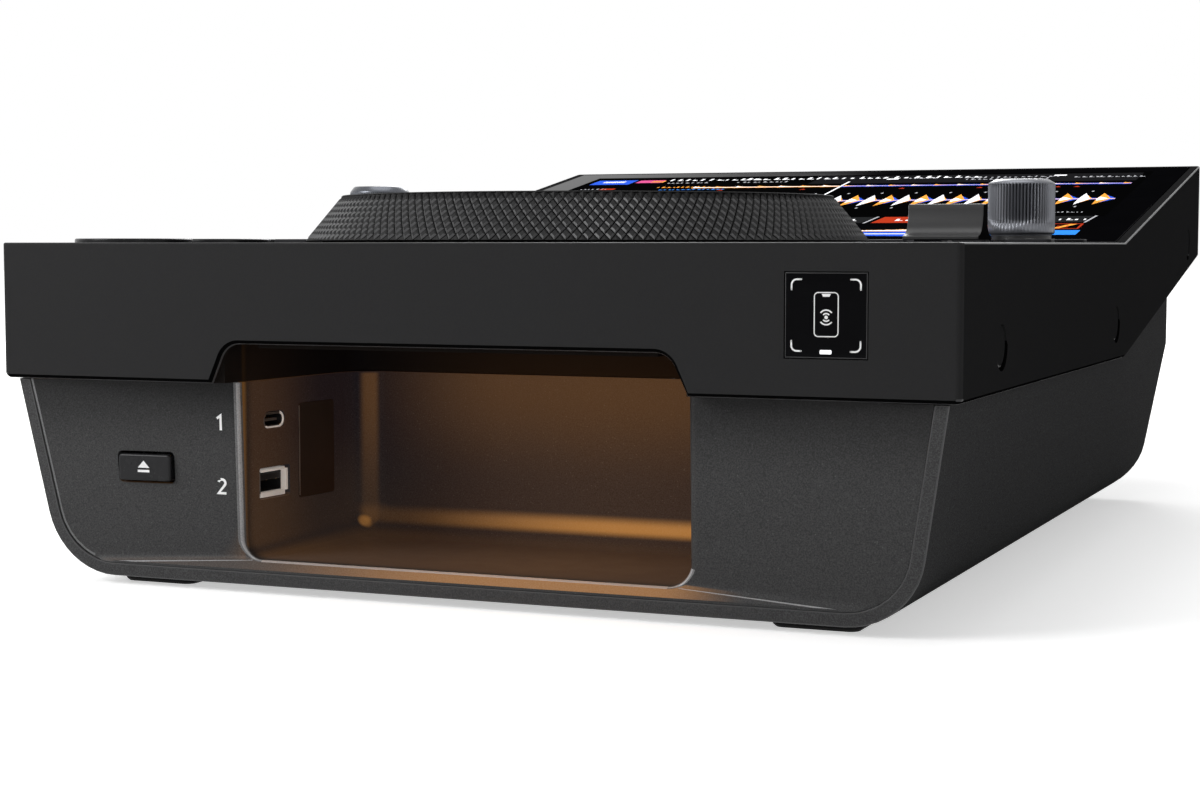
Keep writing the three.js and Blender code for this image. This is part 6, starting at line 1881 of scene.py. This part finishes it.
class PLAYER_OT_rear(bpy.types.Operator):
    """Build the rear panel with its inlet, switch, jacks and network socket"""

    bl_idname = "player.rear"
    bl_label = "Rear sockets"

    JACK_PITCH = 22.0

    def execute(self, context):
        panel = from_node("rear_panel")
        bevel(panel, sharp_edges(panel, 60), 0.2, 1)
        piece("rear_plate", panel, ("rear paint",), "rear_panel")
        self.inlet()
        self.switch()
        self.jacks()
        self.network()
        self.marks()
        return {"FINISHED"}

    def across(self, node):
        """A node's middle on the rear panel's plane, where X points the other way."""
        return -Box(node).centre.x

    def at(self, x, y=0.0, out=0.0, turn=0.0):
        """The rear panel's plane moved to a place and leaned by a turn in degrees."""
        return REAR @ Matrix.Translation((x, y, out)) @ Matrix.Rotation(math.radians(turn), 4, "X")

    def jack_places(self):
        first = 9.0 - Box("audio_jacks").high.x
        return [(first + self.JACK_PITCH * i, 0) for i in range(3)]

    def frame(self, made, half_x, half_y, inner, back, front, floor):
        """A block with a hollow of another outline, both cut at the same turns."""
        outer = [(-half_x, -half_y), (half_x, -half_y), (half_x, half_y), (-half_x, half_y)]
        count = 48
        rays = [2 * math.pi * (i + 0.5) / count for i in range(count)]
        rays = [Vector((math.cos(turn), math.sin(turn))) for turn in rays]
        rim, hole = ([tuple(ray * meet(outline, ray)) for ray in rays] for outline in (outer, inner))

        def widened(outline, share_x, share_y):
            return [(x * share_x, y * share_y) for x, y in outline]

        levels = [(rim, back), (rim, front - 0.4), (widened(rim, 0.975, 0.97), front)]
        made.levels(levels + [(widened(hole, 1.03, 1.03), front), (hole, front - 0.4), (hole, floor)])

    def inlet(self):
        made = Relief(self.at(self.across("power_inlet")))
        hole = [(-12.2, -9.0), (12.2, -9.0), (12.2, 4.6), (8.0, 9.0), (-8.0, 9.0), (-12.2, 4.6)]
        self.frame(made, 14.8, 11.8, hole, -22.0, 1.7, -17.0)
        for pin in ((-7.0, -2.0), (0.0, 2.0), (7.0, -2.0)):
            made.plate(2.0, 4.6, 0.5, -17.2, -3.0, 1, centre=pin, edge=0.4)
        piece("inlet_body", made.mesh, ("socket plastic", "nickel"), "power_inlet")

    def switch(self):
        mesh = from_node("power_switch")
        bevel(mesh, sharp_edges(mesh, 50), 0.5, 2)
        piece("rocker", mesh, ("hard key",), "power_switch")
        x = self.across("power_switch")
        signs = Relief(self.at(x, 5.8, 1.9, 7.1))
        signs.block(-0.35, 0.35, -1.7, 1.7, -0.3, 0.03)
        signs.plane = self.at(x, -5.8, 1.9, -7.1)
        signs.arc((0, 0), 1.2, 1.8, 0, 360, -0.3, 0.03, 0, 28)
        piece("rocker_signs", signs.mesh, ("white mark",), rider="power_switch")

    def jacks(self):
        box = Box("audio_jacks")
        made = Relief(REAR)
        made.block(-box.high.x, -box.low.x, -7.8, 7.8, -14.4, -2.7, 0)
        barrel = [(1.8, -2.5), (4.6, -2.5), (4.6, 0.0), (4.15, 0.4), (4.15, 8.2), (3.85, 8.6), (3.2, 8.6)]
        barrel += [(3.2, 2.0), (1.8, 2.0)]
        collar = [(1.75, -2.4), (3.15, -2.4), (3.15, 8.0), (2.9, 8.3), (1.9, 8.3), (1.75, 8.0)]
        nut = [(4.65, -0.6), (6.6, -0.6), (6.6, 0.4), (6.2, 0.8), (4.65, 0.8)]
        for i, place in enumerate(self.jack_places()):
            for profile, number, steps in ((barrel, 1, 48), (collar, 2 + i, 48), (nut, 1, 6)):
                made.turned(profile, number, steps, place, around=True)
        finishes = ("socket plastic", "nickel", "orange ring", "white mark", "red ring")
        piece("jack_group", made.mesh, finishes, "audio_jacks")

    def network(self):
        made = Relief(self.at(self.across("network_socket")))
        hole = [(-5.8, -2.2), (-3.2, -2.2), (-3.2, -3.8), (3.2, -3.8), (3.2, -2.2), (5.8, -2.2)]
        hole += [(5.8, 3.8), (-5.8, 3.8)]
        self.frame(made, 7.8, 6.8, hole, -18.0, -0.5, -11.5)
        for i in range(8):
            made.bar(-3.57 + 1.02 * i, 2.5, 0.5, 0.6, -11.6, -3.0, 1)
        for x, number in ((-6.0, 2), (6.0, 3)):
            made.bar(x, 5.45, 2.0, 1.1, -0.7, -0.42, number)
        finishes = ("nickel", "gold contact", "play light", "cue light")
        piece("network_body", made.mesh, finishes, "network_socket")

    def marks(self):
        made = Relief(self.at(0, 0, -0.3))
        for place in self.jack_places():
            made.arc(place, 8.2, 8.6, 30, 150, MARK_LOW, MARK_TOP, 0, 16)
        x = self.across("network_socket")
        for spot in (x - 3, x, x + 3):
            made.bar(spot, 11.3, 1.8, 1.4, MARK_LOW, MARK_TOP)
            made.bar(spot, 12.5, 0.3, 1.0, MARK_LOW, MARK_TOP)
        made.bar(x, 13.05, 6.2, 0.3, MARK_LOW, MARK_TOP)
        piece("rear_print", made.mesh, ("grey mark",))
        screws = Relief(REAR)
        places = ((-112, 13.5), (112, 13.5), (-112, -13.5), (112, -13.5), (2, 13.5), (2, -13.5))
        add_screws(screws, places, -0.35, 2.6)
        piece("rear_screws", screws.mesh, ("screw steel", "socket plastic"))


class PLAYER_OT_underside(bpy.types.Operator):
    """Build the feet and the screws of the underside"""

    bl_idname = "player.underside"
    bl_label = "Feet and screws"

    def execute(self, context):
        over = Matrix.Rotation(math.pi, 4, "X")
        for side in ("left", "right"):
            for end in ("front", "back"):
                box = Box(f"foot_{end}_{side}")
                made = Relief(box.plane(box.high.z) @ over)
                width, depth, tall = (b - a for a, b in zip(box.low, box.high))
                levels = ((0.6, 0.0, 4.0), (0.0, 0.4, 4.0), (0.0, tall - 0.9, 4.0))
                levels += ((0.9, tall - 0.05, 3.2), (2.2, tall - 0.05, 2.2), (2.6, tall - 0.5, 2.0))
                made.levels([
                    (rounded_outline(width - 2 * shrink, depth - 2 * shrink, radius, 6), level)
                    for shrink, level, radius in levels
                ])
                for i in range(7):
                    rib = (0, -6.6 + 2.2 * i)
                    made.plate(width - 7.5, 1.0, 0.45, tall - 0.7, tall - 0.1, 0, centre=rib, edge=0.2)
                piece(f"{end}_{side}_foot", made.mesh, ("rubber",), f"foot_{end}_{side}")
        made = Relief(Matrix.Translation((0, 0, 3.0)) @ over)
        places = ((-118, 180), (118, 180), (-118, 40), (118, 40), (-118, -100), (118, -100), (0, 190), (0, -120))
        add_screws(made, places, 0.05, 3.2)
        piece("floor_screws", made.mesh, ("screw steel", "socket plastic"))
        return {"FINISHED"}


class PLAYER_OT_inner_parts(bpy.types.Operator):
    """Give the boards and the power supply inside their finishes"""

    bl_idname = "player.inner_parts"
    bl_label = "Inner parts"

    def execute(self, context):
        repaint("board lacquer", "main_board", "key_board")
        repaint("steel box", "power_supply")
        return {"FINISHED"}


STEPS = (
    PLAYER_OT_finishes,
    PLAYER_OT_stage,
    PLAYER_OT_top_case,
    PLAYER_OT_shell,
    PLAYER_OT_front,
    PLAYER_OT_bay,
    PLAYER_OT_front_marks,
    PLAYER_OT_contact_window,
    PLAYER_OT_side_plugs,
    PLAYER_OT_display,
    PLAYER_OT_jog_wheel,
    PLAYER_OT_round_keys,
    PLAYER_OT_small_keys,
    PLAYER_OT_pads,
    PLAYER_OT_knobs,
    PLAYER_OT_fader,
    PLAYER_OT_deck_marks,
    PLAYER_OT_rear,
    PLAYER_OT_underside,
    PLAYER_OT_inner_parts,
)


class PLAYER_PT_steps(bpy.types.Panel):
    """Lists the steps that build the player"""

    bl_label = "Media player"
    bl_idname = "PLAYER_PT_steps"
    bl_space_type = "VIEW_3D"
    bl_region_type = "UI"
    bl_category = "Player"

    def draw(self, context):
        layout = self.layout
        for group in (context.scene.player_sizes, context.scene.player_colours):
            column = layout.column(align=True)
            for name in group.__annotations__:
                column.prop(group, name)
        for step in STEPS:
            layout.operator(step.bl_idname)


CLASSES = (PlayerSizes, PlayerColours, *STEPS, PLAYER_PT_steps)


def register():
    for item in CLASSES:
        bpy.utils.register_class(item)
    bpy.types.Scene.player_sizes = PointerProperty(type=PlayerSizes)
    bpy.types.Scene.player_colours = PointerProperty(type=PlayerColours)


def unregister():
    del bpy.types.Scene.player_colours
    del bpy.types.Scene.player_sizes
    for item in reversed(CLASSES):
        bpy.utils.unregister_class(item)


def main():
    """Builds every piece in order."""
    register()
    for step in STEPS:
        getattr(bpy.ops.player, step.bl_idname.split(".")[1])()


if __name__ == "__main__":
    main()
